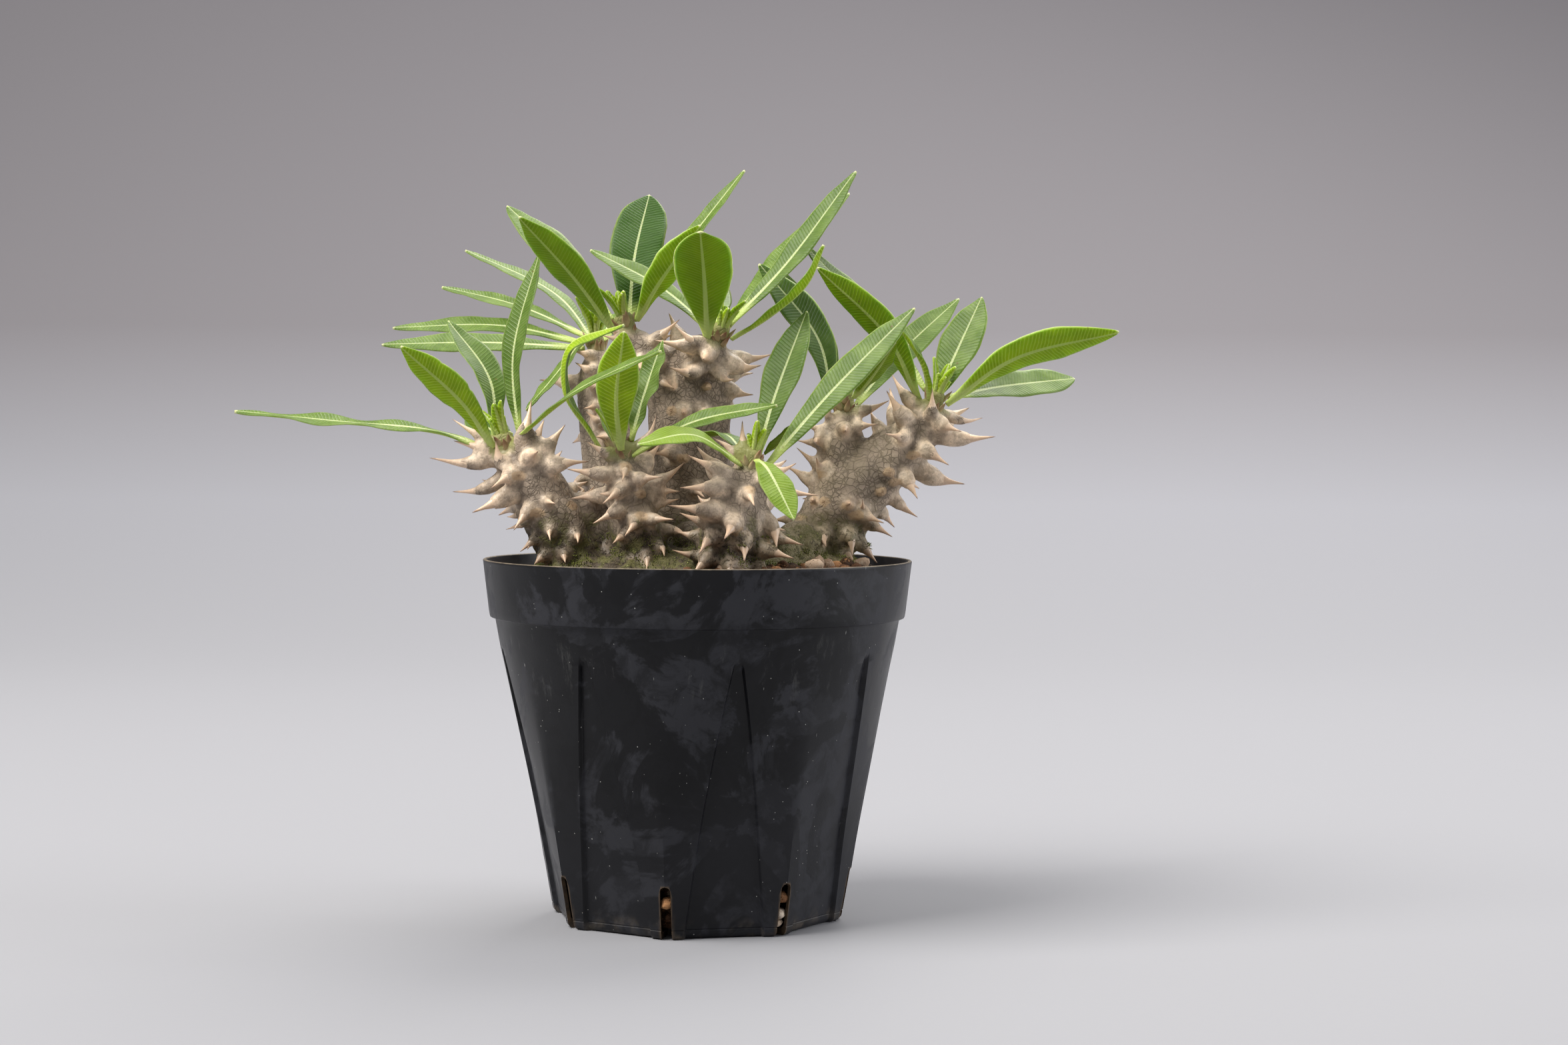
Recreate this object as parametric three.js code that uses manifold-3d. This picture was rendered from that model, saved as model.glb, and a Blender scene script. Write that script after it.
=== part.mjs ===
// A clump-forming pachypodium with paired thorns, growing in a small slit-sided nursery pot.
// Millimetres, +Z up. The origin is the centre of the flat underside of the pot.
// -Y is the front of the plant, +X its right.

import * as THREE from 'three';
import { mergeVertices } from 'three/addons/utils/BufferGeometryUtils.js';
import Module from 'manifold-3d';

const wasm = await Module();
wasm.setup();

const DEGREE = Math.PI / 180;
const GAP = 0.35; // air left between pieces that touch

// The pot: round at the rim, eight-cornered at the foot, with a slit in each foot corner.
const POT = {
  height: 75,
  rimRadius: 45,
  rimEdge: 0.3,
  bandHeight: 12,
  bandFootRadius: 43.6,
  bandFootRise: 0.1, // so that the band's underside slopes by a hair
  bodyTopRadius: 42.5,
  footCornerRadius: 31,
  footChamfer: { rise: 1.2, inset: 0.8 },
  wall: 0.9,
  floor: 1.4,
  floorFillet: 0.8,
  corners: 8,
  firstCornerAngle: -10.5, // degrees round from the front toward the right
};

// The eight long triangles sunk into the body, wide at the foot. Angles are in degrees.
const PANEL = { halfAngle: 16, tipHalfAngle: 0.9, depth: 0.9, top: 57, runOut: 2, stepAngle: 0.7 };
const SLIT = { width: 2.2, height: 11, floorReach: 7, overrun: 3, arcPieces: 5 };

// Potting mix, filled to a little below the rim.
const SOIL = { top: 71.6, crown: 1.2, rings: 9, ringStep: 0.068 };
const GRAIN = { height: 0.9, waveX: 1.9, waveY: 1.7, bend: 1.3, fineShare: 0.5, fineWave: 3.1 };

// The swollen base that every stem grows from, an oval mound set in a plain hole in the soil.
const CAUDEX = {
  centre: [-0.5, -1],
  halfWidth: 35.5,
  halfDepth: 27,
  foot: 58,
  footRise: 4,
  footScale: 0.8,
  shoulder: 72.6,
  top: 79.5,
  domeSteps: [0, 0.3, 0.6, 0.85, 1],
  domePower: 1.6,
  summitScale: 0.2,
  sides: 28,
};

// oval and ribs say how far a stem's section strays from a circle, twist how that turns on the way up.
const STEM = { sides: 12, ringsPerPoint: 1.5, oval: 0.045, ribs: 0.035, twist: 4 };
const BUD = {
  radius: 2,
  height: 4.6,
  shoulder: 0.85,
  tipScale: 0.45,
  leafStart: 0.9,
  leafRise: 1.35,
  levels: 3,
};

// Each stem is a list of points up its middle, x, y, z, with the radius there.
const STEMS = {
  left: [[-21, -9, 70, 7.5], [-25.5, -11, 76, 6.8], [-28.6, -12, 82, 6.4], [-31.6, -12, 88, 6.1],
    [-34.4, -12, 92.6, 5.6], [-37.2, -12, 95.4, 3.9], [-38.6, -12, 97, 2.1]],
  small: [[-9, -13, 70, 7], [-11.2, -15.5, 77, 5.9], [-12.8, -16, 83.5, 5.3], [-14, -16.2, 89, 4.7],
    [-15, -16, 93.2, 3.5], [-15.6, -16, 95.6, 2.1]],
  front: [[4, -15.8, 70, 7.4], [6.4, -20.8, 76, 7.2], [7.4, -23, 82, 6.6], [8.6, -23.8, 88, 5.8],
    [9.8, -24, 91.8, 4.3], [10.6, -24, 94, 2.1]],
  tall: [[-1, 5, 70, 13], [-1.4, 6, 80, 10.4], [-1.8, 6, 92, 9.2], [-1.8, 5, 104, 9.2],
    [-1.6, 4, 111, 8.8], [0.4, 1, 116, 6.6], [2.8, -2.6, 118.6, 4], [3.8, -4, 120, 2.1]],
  tall_fork: [[-3, 4, 107, 7.2], [-7.4, 3, 113, 6], [-11.6, 1.4, 117.6, 5], [-14, 0.4, 120.4, 3.6],
    [-15, 0, 122, 2.1]],
  right: [[19, 2, 70, 9.5], [24.6, 2, 76, 7.4], [28, 2, 82, 7.6], [32.4, 2, 89.4, 8.2],
    [38, 2, 94.6, 6.6], [43.2, 1.6, 98.8, 5.6], [46.8, 0.8, 103.2, 4.4], [48.8, 0, 106.4, 2.1]],
  right_fork: [[31.4, 2.4, 88, 6.6], [30.4, 2.8, 95, 5.6], [30.2, 3, 100.6, 4.9], [30.4, 3, 103.6, 3.6],
    [30.6, 3, 105.6, 2.1]],
  back: [[-13, 13, 70, 8], [-17, 18, 80, 6.6], [-19.4, 21.4, 92, 6], [-20.6, 23.6, 104, 5.8],
    [-21.6, 24.6, 112, 5.2], [-22.2, 25.2, 117, 3.6], [-22.6, 25.6, 119, 2.1]],
};

// Thorns come in pairs, each pair a turn of the golden angle on from the last.
// from and to say how far up its stem the thorned stretch runs.
const THORNS = {
  left: { pairs: 16, from: 0.16, to: 0.93, seed: 11 },
  small: { pairs: 13, from: 0.16, to: 0.93, seed: 23 },
  front: { pairs: 18, from: 0.14, to: 0.92, seed: 37 },
  tall: { pairs: 13, from: 0.26, to: 0.95, seed: 41 },
  tall_fork: { pairs: 6, from: 0.4, to: 0.9, seed: 59 },
  right: { pairs: 17, from: 0.14, to: 0.95, seed: 61 },
  right_fork: { pairs: 7, from: 0.3, to: 0.92, seed: 71 },
  back: { pairs: 12, from: 0.2, to: 0.94, seed: 83 },
};
const GOLDEN_ANGLE = 137.5;
const PAIR_SPREAD = 21; // degrees from the leaf scar to each thorn of its pair
const THORN = {
  shortest: 4.4,
  longest: 11.5,
  girth: 0.19, // of the length, at the bulge
  slimmest: 1.4,
  profile: [[0, 1.1], [0.38, 1], [0.6, 0.36]], // part of the length, then part of the bulge
  needleFrom: 0.55,
  needleGirth: 0.4,
  sunk: 1.6,
  nearestAxis: 0.6,
  lowestTilt: -20,
  highestTilt: 46,
  hook: 2,
  sides: 4,
};
// How much chance there is in each thorn: three in degrees and one as part of the length.
const THORN_PLAY = { spread: 4, turn: 9, tilt: 12, length: 0.3 };
// Thorns stay over the soil, inside the rim while they are lower than it, and off the leaves.
const CLEARANCE = { soil: 74.2, rim: 2, reach: 41, leaf: 0.6 };

// Each leaf: the points its midrib passes on the way out, ending at its tip, then its width.
// face is where the upper side of the blade looks. Without it the upper side looks to the bud,
// turned about the midrib by roll. start moves its stalk round the bud, fold lifts the two
// halves of the blade, wave ruffles its edges and spoon rounds its end.
const LEAVES = {
  left: [
    {
      path: [[-52, -12, 101], [-76, -10, 103.4], [-95.4, -8, 105.2]],
      width: 6.5, wave: 0.5, face: [0.1, -0.3, 1],
    },
    { path: [[-47.4, -17.6, 107], [-59.4, -24, 118.4]], width: 8, face: [0.45, 0.85, 0.2], start: -20 },
    {
      path: [[-43.4, -4, 112], [-53, 6, 124.6]],
      width: 7.6, fold: 12, face: [0.5, -0.7, 0.5], start: 45,
    },
    { path: [[-38, -9, 117], [-33, -4, 138.4]], width: 7, fold: 10, face: [-0.7, -0.7, 0.1] },
    { path: [[-24, -27, 109.6], [-7, -36.6, 117.4]], width: 6.6, fold: 8, face: [-0.2, -0.4, 0.9] },
    { path: [[-42.6, -2, 101.4], [-49, 7, 105]], width: 7.4, start: -40 },
  ],
  small: [
    {
      path: [[-21.8, -17, 101.4], [-27, -17, 109.6], [-26, -19, 118.6], [-14.8, -21.6, 123]],
      width: 5.8, fold: 16, roll: -16,
    },
    { path: [[-16.4, -22, 108], [-14.7, -26.4, 121.6]], width: 8.6, face: [0, 0.9, 0.4] },
    {
      path: [[-11.6, -12.6, 107], [-7.4, -8, 120.4]],
      width: 6.4, fold: 16, wave: 0.6, face: [-0.6, -0.8, 0.2],
    },
    { path: [[-1, -21.4, 103.4], [16, -25.4, 107]], width: 5.4, fold: 10, face: [-0.1, -0.6, 0.8] },
    { path: [[-17, -8, 102.6], [-18.4, 0, 110]], width: 6.2 },
  ],
  front: [
    { path: [[-0.6, -34, 100.8], [-11.4, -43, 99]], width: 7, face: [-0.1, -0.6, 0.75] },
    { path: [[14, -32.4, 94.2], [19, -42, 84.6]], width: 6.8, face: [0.2, -0.7, 0.7] },
    { path: [[15.4, -18.6, 108], [22.2, -13, 126.4]], width: 8.8, fold: 8, face: [-0.5, -0.85, 0.2] },
    { path: [[26.6, -22, 109.4], [44, -17, 127]], width: 8, face: [-0.45, -0.8, 0.4] },
    { path: [[5.6, -13, 101], [-1, -5, 100.6]], width: 6 },
  ],
  tall_fork: [
    { path: [[-25.4, -7, 133], [-36.6, -14, 145.2]], width: 9.6, face: [0.5, 0.75, 0.4] },
    {
      path: [[-8.6, -6, 132], [0.2, -10, 144]],
      width: 7.4, fold: 14, face: [-0.5, 0.85, 0.1], start: 20,
    },
    { path: [[-29, 9, 138], [-41.8, 20, 150]], width: 9.8, face: [0.5, -0.75, 0.4], start: 16 },
    {
      path: [[-14, 10, 138], [-11.2, 22, 152.8]],
      width: 11.4, spoon: true, face: [0, -0.9, 0.4], start: 14,
    },
    { path: [[-4.6, 10, 139], [9.4, 19, 158]], width: 5.4, fold: 12, roll: 10 },
  ],
  tall: [
    { path: [[1.2, -13.6, 132], [0.4, -26, 141.6]], width: 12, spoon: true, face: [0, 0.9, 0.4] },
    {
      path: [[14.6, -11, 125.6], [22, -14.6, 132], [25.4, -16, 139.8]],
      width: 6.4, fold: 14, face: [-0.7, 0.2, 0.7],
    },
    { path: [[18.4, 0, 137], [32.8, 4, 156.6]], width: 7, fold: 6, face: [-0.55, -0.7, 0.4], start: 14 },
    { path: [[16, 10, 137], [32.2, 23, 153.6]], width: 8.4, face: [-0.6, -0.6, 0.5], start: 12 },
    { path: [[-8, 0.6, 131.6], [-23, 3.4, 139.6]], width: 7, face: [0.4, -0.6, 0.7] },
    { path: [[3, 14, 131], [-2, 30, 144]], width: 8.4, start: 10 },
  ],
  right_fork: [
    { path: [[25, 3.4, 121], [12.4, 3.6, 137]], width: 9, fold: 8, face: [0.5, -0.85, 0.3], start: 24 },
    {
      path: [[26.6, 8, 119.4], [17.4, 12, 136]],
      width: 7.6, face: [0.6, -0.7, 0.3], fold: 10, start: -20,
    },
    { path: [[35.6, -3, 113], [40.6, -8, 120.4]], width: 7.4, face: [-0.5, 0.6, 0.6] },
    { path: [[42, 16, 117.6], [56.4, 25, 131]], width: 9.6, face: [-0.5, -0.7, 0.5] },
    { path: [[23, 9, 104], [14, 17, 97]], width: 6.6, start: 20 },
  ],
  right: [
    {
      path: [[39.4, -4, 121.6], [24.4, -7, 135.8]],
      width: 8.2, fold: 8, face: [0.55, 0.75, 0.4], start: -24,
    },
    {
      path: [[46.4, -7.6, 115.6], [41, -9.4, 124]],
      width: 4.4, fold: 18, face: [0.6, -0.2, 0.7], start: 10,
    },
    { path: [[39.4, 9, 123], [22.4, 19, 142]], width: 7.4, face: [0.5, -0.7, 0.5] },
    { path: [[54, 4.6, 118], [60, 9, 130.6]], width: 10, face: [-0.5, -0.8, 0.3], start: 16 },
    {
      path: [[65.6, -6, 117.4], [86.6, -10, 122.8]],
      width: 8.8, fold: 8, face: [-0.15, 0.75, 0.6], start: -10,
    },
    {
      path: [[64.4, 10, 111.6], [81.2, 20, 113.6]],
      width: 8.4, spoon: true, face: [-0.1, -0.75, 0.65], start: -22,
    },
  ],
  back: [
    { path: [[-46, 22.6, 120.6], [-68.8, 21, 120]], width: 7.2, face: [0, -0.36, 0.93], start: 10 },
    { path: [[-44, 30.6, 124.6], [-67.6, 31, 124]], width: 7, face: [0, -0.3, 0.95] },
    { path: [[-40, 34, 129], [-57.6, 38, 133.4]], width: 7, face: [0.2, -0.4, 0.9], start: -30 },
    { path: [[-32, 38, 131.6], [-53, 44.4, 142]], width: 6.4, face: [0.4, -0.4, 0.8], start: -40 },
    { path: [[-20, 38, 126], [-15, 50, 129]], width: 8, start: -26 },
    { path: [[-31, 18, 113.6], [-37, 13, 106]], width: 6, start: 8 },
  ],
};
const LEAF = {
  thickness: 0.7,
  stalkWidth: 1.5,
  stalkThickness: 1,
  stalkShare: 0.25,
  widestAt: 0.6,
  swell: 1.5,
  pointedEnd: 1.9,
  spoonEnd: 3.4,
  tipWidth: 0.7,
  spans: 7,
  fold: 5,
  wave: 0.15,
  waveTurns: 21, // radians from stalk to tip
  fullWaveHalfWidth: 2,
  rolledBy: 0.33,
};

const COLOUR = {
  pot: { color: 0x1c1e22, roughness: 0.42, metalness: 0 },
  soil: { color: 0x4a3020, roughness: 0.95, metalness: 0 },
  plant: { color: 0x8c8278, roughness: 0.8, metalness: 0 },
  leaf: { color: 0x6f9c3c, roughness: 0.5, metalness: 0 },
};

const { lerp, clamp, smoothstep } = THREE.MathUtils;

function vector(numbers) {
  return new THREE.Vector3(numbers[0], numbers[1], numbers[2]);
}

// A repeatable stream of numbers from 0 to 1.
function randomFrom(seed) {
  let state = seed;
  return () => {
    state = (state * 1664525 + 1013904223) % 4294967296;
    return state / 4294967296;
  };
}

function geometryFrom(points, triangles) {
  const geometry = new THREE.BufferGeometry();
  const numbers = points.flatMap((point) => [point.x, point.y, point.z]);
  geometry.setAttribute('position', new THREE.Float32BufferAttribute(numbers, 3));
  geometry.setIndex(triangles.flat());
  return mergeVertices(geometry, 1e-4);
}

// Rings of points, all with the same count, joined into one skin. Each end is closed on the
// middle of its ring, or on a point where one is given.
function loft(rings, endPoint) {
  const count = rings[0].length;
  const points = rings.flat();
  const triangles = [];
  for (let row = 0; row < rings.length - 1; row += 1) {
    for (let side = 0; side < count; side += 1) {
      const next = (side + 1) % count;
      const low = row * count;
      const high = low + count;
      triangles.push([low + side, low + next, high + next], [low + side, high + next, high + side]);
    }
  }
  const lastRow = (rings.length - 1) * count;
  const firstCentre = points.push(middleOf(rings[0])) - 1;
  const lastCentre = points.push(endPoint ?? middleOf(rings.at(-1))) - 1;
  for (let side = 0; side < count; side += 1) {
    const next = (side + 1) % count;
    triangles.push([next, side, firstCentre], [lastRow + side, lastRow + next, lastCentre]);
  }
  return geometryFrom(points, triangles);
}

function middleOf(ring) {
  const sum = ring.reduce((total, point) => total.add(point), new THREE.Vector3());
  return sum.divideScalar(ring.length);
}

function solidFrom(geometry) {
  const bare = geometry.clone();
  bare.deleteAttribute('normal');
  bare.deleteAttribute('uv');
  const merged = mergeVertices(bare, 1e-4);
  const vertProperties = new Float32Array(merged.attributes.position.array);
  const triVerts = new Uint32Array(merged.index.array);
  return new wasm.Manifold(new wasm.Mesh({ numProp: 3, vertProperties, triVerts }));
}

function geometryOf(solid) {
  const mesh = solid.getMesh();
  const geometry = new THREE.BufferGeometry();
  geometry.setAttribute('position', new THREE.BufferAttribute(new Float32Array(mesh.vertProperties), 3));
  geometry.setIndex(new THREE.BufferAttribute(new Uint32Array(mesh.triVerts), 1));
  return geometry;
}

function join(solids) {
  return solids.reduce((whole, piece) => whole.add(piece));
}

function piece(name, geometry, look) {
  const faceted = geometry.clone();
  faceted.computeVertexNormals();
  const mesh = new THREE.Mesh(faceted, new THREE.MeshStandardMaterial(look));
  mesh.name = name;
  return mesh;
}

// The pot

const SECTOR = 360 / POT.corners;
const BODY_TOP = POT.height - POT.bandHeight;
const INNER_TOP = BODY_TOP - POT.wall / 2;
const WALL_HEIGHTS = [PANEL.top / 2, PANEL.top - PANEL.runOut, PANEL.top];

// Half the angle that a sunk panel covers at a height, narrowing to its tip.
function panelHalfAngle(z) {
  return lerp(PANEL.halfAngle, PANEL.tipHalfAngle, clamp(z / PANEL.top, 0, 1));
}

function panelDepth(z) {
  return PANEL.depth * (1 - smoothstep(z, PANEL.top - PANEL.runOut, PANEL.top));
}

// Radius of the pot's body before the panels are sunk: an octagon at the foot, a circle at the top.
function bodyRadius(z, angleFromPanel) {
  const round = lerp(POT.footCornerRadius, POT.bodyTopRadius, clamp(z / BODY_TOP, 0, 1));
  const flat = Math.cos((SECTOR / 2) * DEGREE) / Math.cos(angleFromPanel * DEGREE);
  const squareness = clamp(1 - z / PANEL.top, 0, 1);
  return round * lerp(1, flat, squareness);
}

// Angles across one sector, with the radius there, from one foot corner to the next.
function sectorProfile(z, widen, inset) {
  const half = SECTOR / 2;
  const panel = panelHalfAngle(z) + widen;
  const outer = panel + PANEL.stepAngle / 2;
  const inner = Math.max(panel - PANEL.stepAngle / 2, PANEL.tipHalfAngle / 3);
  const between = (half + outer) / 2;
  const sink = panelDepth(z);
  const plain = [-half, -between, -outer, outer, between].map((angle) => [angle, 0]);
  const sunk = [-inner, inner].map((angle) => [angle, sink]);
  const stations = [...plain, ...sunk].sort((a, b) => a[0] - b[0]);
  return stations.map(([angle, depth]) => [angle, bodyRadius(z, angle) - inset - depth]);
}

function bodyRing(z, inset) {
  const ring = [];
  const widen = inset > 0 ? inset / (bodyRadius(z, 0) * DEGREE) : 0;
  for (let corner = 0; corner < POT.corners; corner += 1) {
    const centre = POT.firstCornerAngle + (corner + 0.5) * SECTOR;
    for (const [angle, radius] of sectorProfile(z, widen, inset)) {
      ring.push(aroundFront(centre + angle, radius, z));
    }
  }
  return ring;
}

// A round ring whose points stand at the same angles as the body's.
function roundRing(z, radius) {
  return bodyRing(z, 0).map((point) => {
    const scale = radius / Math.hypot(point.x, point.y);
    return new THREE.Vector3(point.x * scale, point.y * scale, z);
  });
}

function aroundFront(angle, radius, z) {
  return new THREE.Vector3(radius * Math.sin(angle * DEGREE), -radius * Math.cos(angle * DEGREE), z);
}

function shrunk(ring, distance, z) {
  return ring.map((point) => {
    const scale = 1 - distance / Math.hypot(point.x, point.y);
    return new THREE.Vector3(point.x * scale, point.y * scale, z);
  });
}

function slitCutter(corner) {
  const half = SLIT.width / 2;
  const outline = new THREE.Shape();
  outline.moveTo(-half, -half);
  outline.lineTo(half, -half);
  outline.lineTo(half, SLIT.height - half);
  outline.absarc(0, SLIT.height - half, half, 0, Math.PI, false);
  const depth = SLIT.floorReach + SLIT.overrun;
  const settings = { depth, bevelEnabled: false, curveSegments: SLIT.arcPieces };
  const slot = new THREE.ExtrudeGeometry(outline, settings);
  slot.rotateX(90 * DEGREE);
  slot.translate(0, -(POT.footCornerRadius - SLIT.floorReach), 0);
  slot.rotateZ((POT.firstCornerAngle + corner * SECTOR) * DEGREE);
  return solidFrom(slot);
}

function buildPot() {
  const { rise, inset } = POT.footChamfer;
  const foot = bodyRing(rise, 0);
  const wall = loft([
    shrunk(foot, inset, 0),
    foot,
    ...WALL_HEIGHTS.map((z) => bodyRing(z, 0)),
    bodyRing(BODY_TOP, 0),
    roundRing(BODY_TOP + POT.bandFootRise, POT.bandFootRadius),
    roundRing(POT.height - POT.rimEdge, POT.rimRadius),
    roundRing(POT.height, POT.rimRadius - POT.rimEdge),
    roundRing(POT.height, POT.rimRadius - POT.wall),
    bodyRing(INNER_TOP, POT.wall),
    ...WALL_HEIGHTS.toReversed().map((z) => bodyRing(z, POT.wall)),
    bodyRing(POT.floor + POT.floorFillet, POT.wall),
    shrunk(bodyRing(POT.floor, POT.wall), POT.floorFillet, POT.floor),
  ]);
  let pot = solidFrom(wall);
  for (let corner = 0; corner < POT.corners; corner += 1) {
    pot = pot.subtract(slitCutter(corner));
  }
  return piece('pot', geometryOf(pot), COLOUR.pot);
}

// The soil

// How far the caudex strays from a plain oval, as a part of its size.
function caudexLobe(angle) {
  return 1 + 0.035 * Math.cos(3 * angle + 0.7) + 0.025 * Math.cos(5 * angle);
}

function caudexRing(z, scale, grow) {
  const ring = [];
  for (let side = 0; side < CAUDEX.sides; side += 1) {
    const angle = (side / CAUDEX.sides) * 360 * DEGREE;
    const lobe = caudexLobe(angle);
    const x = CAUDEX.centre[0] + (CAUDEX.halfWidth * scale * lobe + grow) * Math.cos(angle);
    const y = CAUDEX.centre[1] + (CAUDEX.halfDepth * scale * lobe + grow) * Math.sin(angle);
    ring.push(new THREE.Vector3(x, y, z));
  }
  return ring;
}

// Height of the soil's grains over its level, the same wherever it is asked for.
function grainHeight(x, y) {
  const across = Math.sin(x * GRAIN.waveX + GRAIN.bend * Math.sin(y));
  const coarse = across * Math.cos(y * GRAIN.waveY + Math.sin(x));
  const fine = GRAIN.fineShare * Math.sin((x + y / 2) * GRAIN.fineWave);
  return GRAIN.height * (coarse + fine);
}

// The soil meets the pot in a plain ring, and is grainy from the next ring inward.
function soilTopRing(order) {
  const scale = 1 - order * SOIL.ringStep;
  return fillRing(SOIL.top).map((point) => {
    const x = point.x * scale;
    const y = point.y * scale;
    const grain = order > 0 ? grainHeight(x, y) : 0;
    return new THREE.Vector3(x, y, SOIL.top + SOIL.crown * (1 - scale) + grain);
  });
}

// What fills the pot at a height: its inside, drawn in by the gap.
function fillRing(z) {
  if (z <= BODY_TOP) return bodyRing(z, POT.wall + GAP);
  const rise = (z - BODY_TOP) / POT.bandHeight;
  return roundRing(z, lerp(POT.bodyTopRadius, POT.rimRadius, rise) - POT.wall - GAP);
}

function buildSoil() {
  const underside = POT.floor + GAP;
  const topRings = [];
  for (let order = 0; order < SOIL.rings; order += 1) {
    topRings.push(soilTopRing(order));
  }
  const mound = loft([
    shrunk(fillRing(underside), POT.floorFillet, underside),
    fillRing(underside + POT.floorFillet),
    ...WALL_HEIGHTS.map(fillRing),
    fillRing(INNER_TOP),
    ...topRings,
  ]);
  const hole = loft([caudexRing(CAUDEX.foot - GAP, 1, GAP), caudexRing(CAUDEX.top, 1, GAP)]);
  const soil = solidFrom(mound).subtract(solidFrom(hole));
  return piece('soil', geometryOf(soil), COLOUR.soil);
}

// The plant's woody body

function buildCaudex() {
  const { foot, footRise, footScale, shoulder, top, domeSteps, domePower, summitScale } = CAUDEX;
  const rings = [caudexRing(foot, footScale, 0), caudexRing(foot + footRise, 1, 0)];
  for (const step of domeSteps) {
    const scale = Math.max(Math.sqrt(1 - step ** domePower), summitScale);
    rings.push(caudexRing(lerp(shoulder, top, step), scale, 0));
  }
  return solidFrom(loft(rings));
}

function curveThrough(points) {
  return new THREE.CatmullRomCurve3(points, false, 'centripetal');
}

function stemCurve(name) {
  return curveThrough(STEMS[name].map(vector));
}

// Radius of a stem a part of the way up it, by the points that set its curve.
function stemRadius(name, part) {
  const rows = STEMS[name];
  const place = clamp(part, 0, 1) * (rows.length - 1);
  const row = Math.min(Math.floor(place), rows.length - 2);
  return lerp(rows[row][3], rows[row + 1][3], place - row);
}

// Two directions square to an axis, the first as near the front as can be.
function squareTo(axis) {
  const front = new THREE.Vector3(0, -1, 0);
  const first = front.addScaledVector(axis, -front.dot(axis)).normalize();
  const second = new THREE.Vector3().crossVectors(axis, first);
  return [first, second];
}

function stemRing(centre, axis, radius, turn) {
  const [first, second] = squareTo(axis);
  const ring = [];
  for (let side = 0; side < STEM.sides; side += 1) {
    const angle = (side / STEM.sides) * 360 * DEGREE;
    const swell = 1 + STEM.oval * Math.sin(2 * angle + turn) + STEM.ribs * Math.sin(5 * angle - 2 * turn);
    const point = centre.clone();
    point.addScaledVector(first, Math.cos(angle) * radius * swell);
    point.addScaledVector(second, Math.sin(angle) * radius * swell);
    ring.push(point);
  }
  return ring;
}

function buildStem(name) {
  const curve = stemCurve(name);
  const steps = Math.round((STEMS[name].length - 1) * STEM.ringsPerPoint);
  const rings = [];
  for (let step = 0; step <= steps; step += 1) {
    const part = step / steps;
    const turn = part * STEM.twist;
    rings.push(stemRing(curve.getPoint(part), curve.getTangent(part), stemRadius(name, part), turn));
  }
  const { place, axis } = headOf(name);
  for (const [rise, scale] of [[BUD.shoulder, 1], [1, BUD.tipScale]]) {
    const centre = place.clone().addScaledVector(axis, BUD.height * rise);
    rings.push(stemRing(centre, axis, BUD.radius * scale, STEM.twist));
  }
  return solidFrom(loft(rings));
}

// Where a stem ends and its leaves begin. Its bud leans less than the stem does.
function headOf(name) {
  const curve = stemCurve(name);
  const axis = curve.getTangent(1).normalize();
  axis.z += 1;
  return { place: curve.getPoint(1), axis: axis.normalize() };
}

// One thorn: a swollen foot that narrows at once to a needle, hooked by its own droop.
function buildThorn({ root, aim, length, hook }) {
  const [first, second] = squareTo(aim);
  const bulge = thornBulge(length);
  const rings = THORN.profile.map(([part, girth]) => {
    const centre = root.clone().addScaledVector(aim, length * part);
    centre.z -= hook * part ** 2;
    const ring = [];
    for (let side = 0; side < THORN.sides; side += 1) {
      const angle = (side / THORN.sides) * 360 * DEGREE;
      const point = centre.clone();
      point.addScaledVector(first, Math.cos(angle) * bulge * girth);
      point.addScaledVector(second, Math.sin(angle) * bulge * girth);
      ring.push(point);
    }
    return ring;
  });
  return solidFrom(loft(rings, thornTip({ root, aim, length, hook })));
}

function thornBulge(length) {
  return Math.max(length * THORN.girth, THORN.slimmest);
}

// Every thorn of a stem: where it starts, where it points and how long it is.
function thornsOf(name) {
  const { pairs, from, to, seed } = THORNS[name];
  const random = randomFrom(seed);
  const curve = stemCurve(name);
  const thorns = [];
  for (let pair = 0; pair < pairs; pair += 1) {
    const climb = pair / (pairs - 1);
    const part = lerp(from, to, climb);
    const axis = curve.getTangent(part).normalize();
    const [first, second] = squareTo(axis);
    for (const hand of [-1, 1]) {
      const spread = PAIR_SPREAD + THORN_PLAY.spread * random();
      const turn = pair * GOLDEN_ANGLE + hand * spread + THORN_PLAY.turn * random();
      const outward = first.clone().multiplyScalar(Math.cos(turn * DEGREE));
      outward.addScaledVector(second, Math.sin(turn * DEGREE));
      const tilt = lerp(THORN.lowestTilt, THORN.highestTilt, climb) + THORN_PLAY.tilt * (random() - 0.5);
      const aim = outward.clone().multiplyScalar(Math.cos(tilt * DEGREE));
      aim.addScaledVector(axis, Math.sin(tilt * DEGREE)).normalize();
      const play = 1 + THORN_PLAY.length * (random() - 0.5);
      const length = lerp(THORN.shortest, THORN.longest, climb) * play + THORN.sunk;
      const depth = Math.max(stemRadius(name, part) - THORN.sunk, THORN.nearestAxis);
      const root = curve.getPoint(part).addScaledVector(outward, depth);
      thorns.push({ root, aim, length, hook: THORN.hook * (1 - climb) });
    }
  }
  return thorns;
}

function thornTip(thorn) {
  const tip = thorn.root.clone().addScaledVector(thorn.aim, thorn.length);
  tip.z -= thorn.hook;
  return tip;
}

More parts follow.
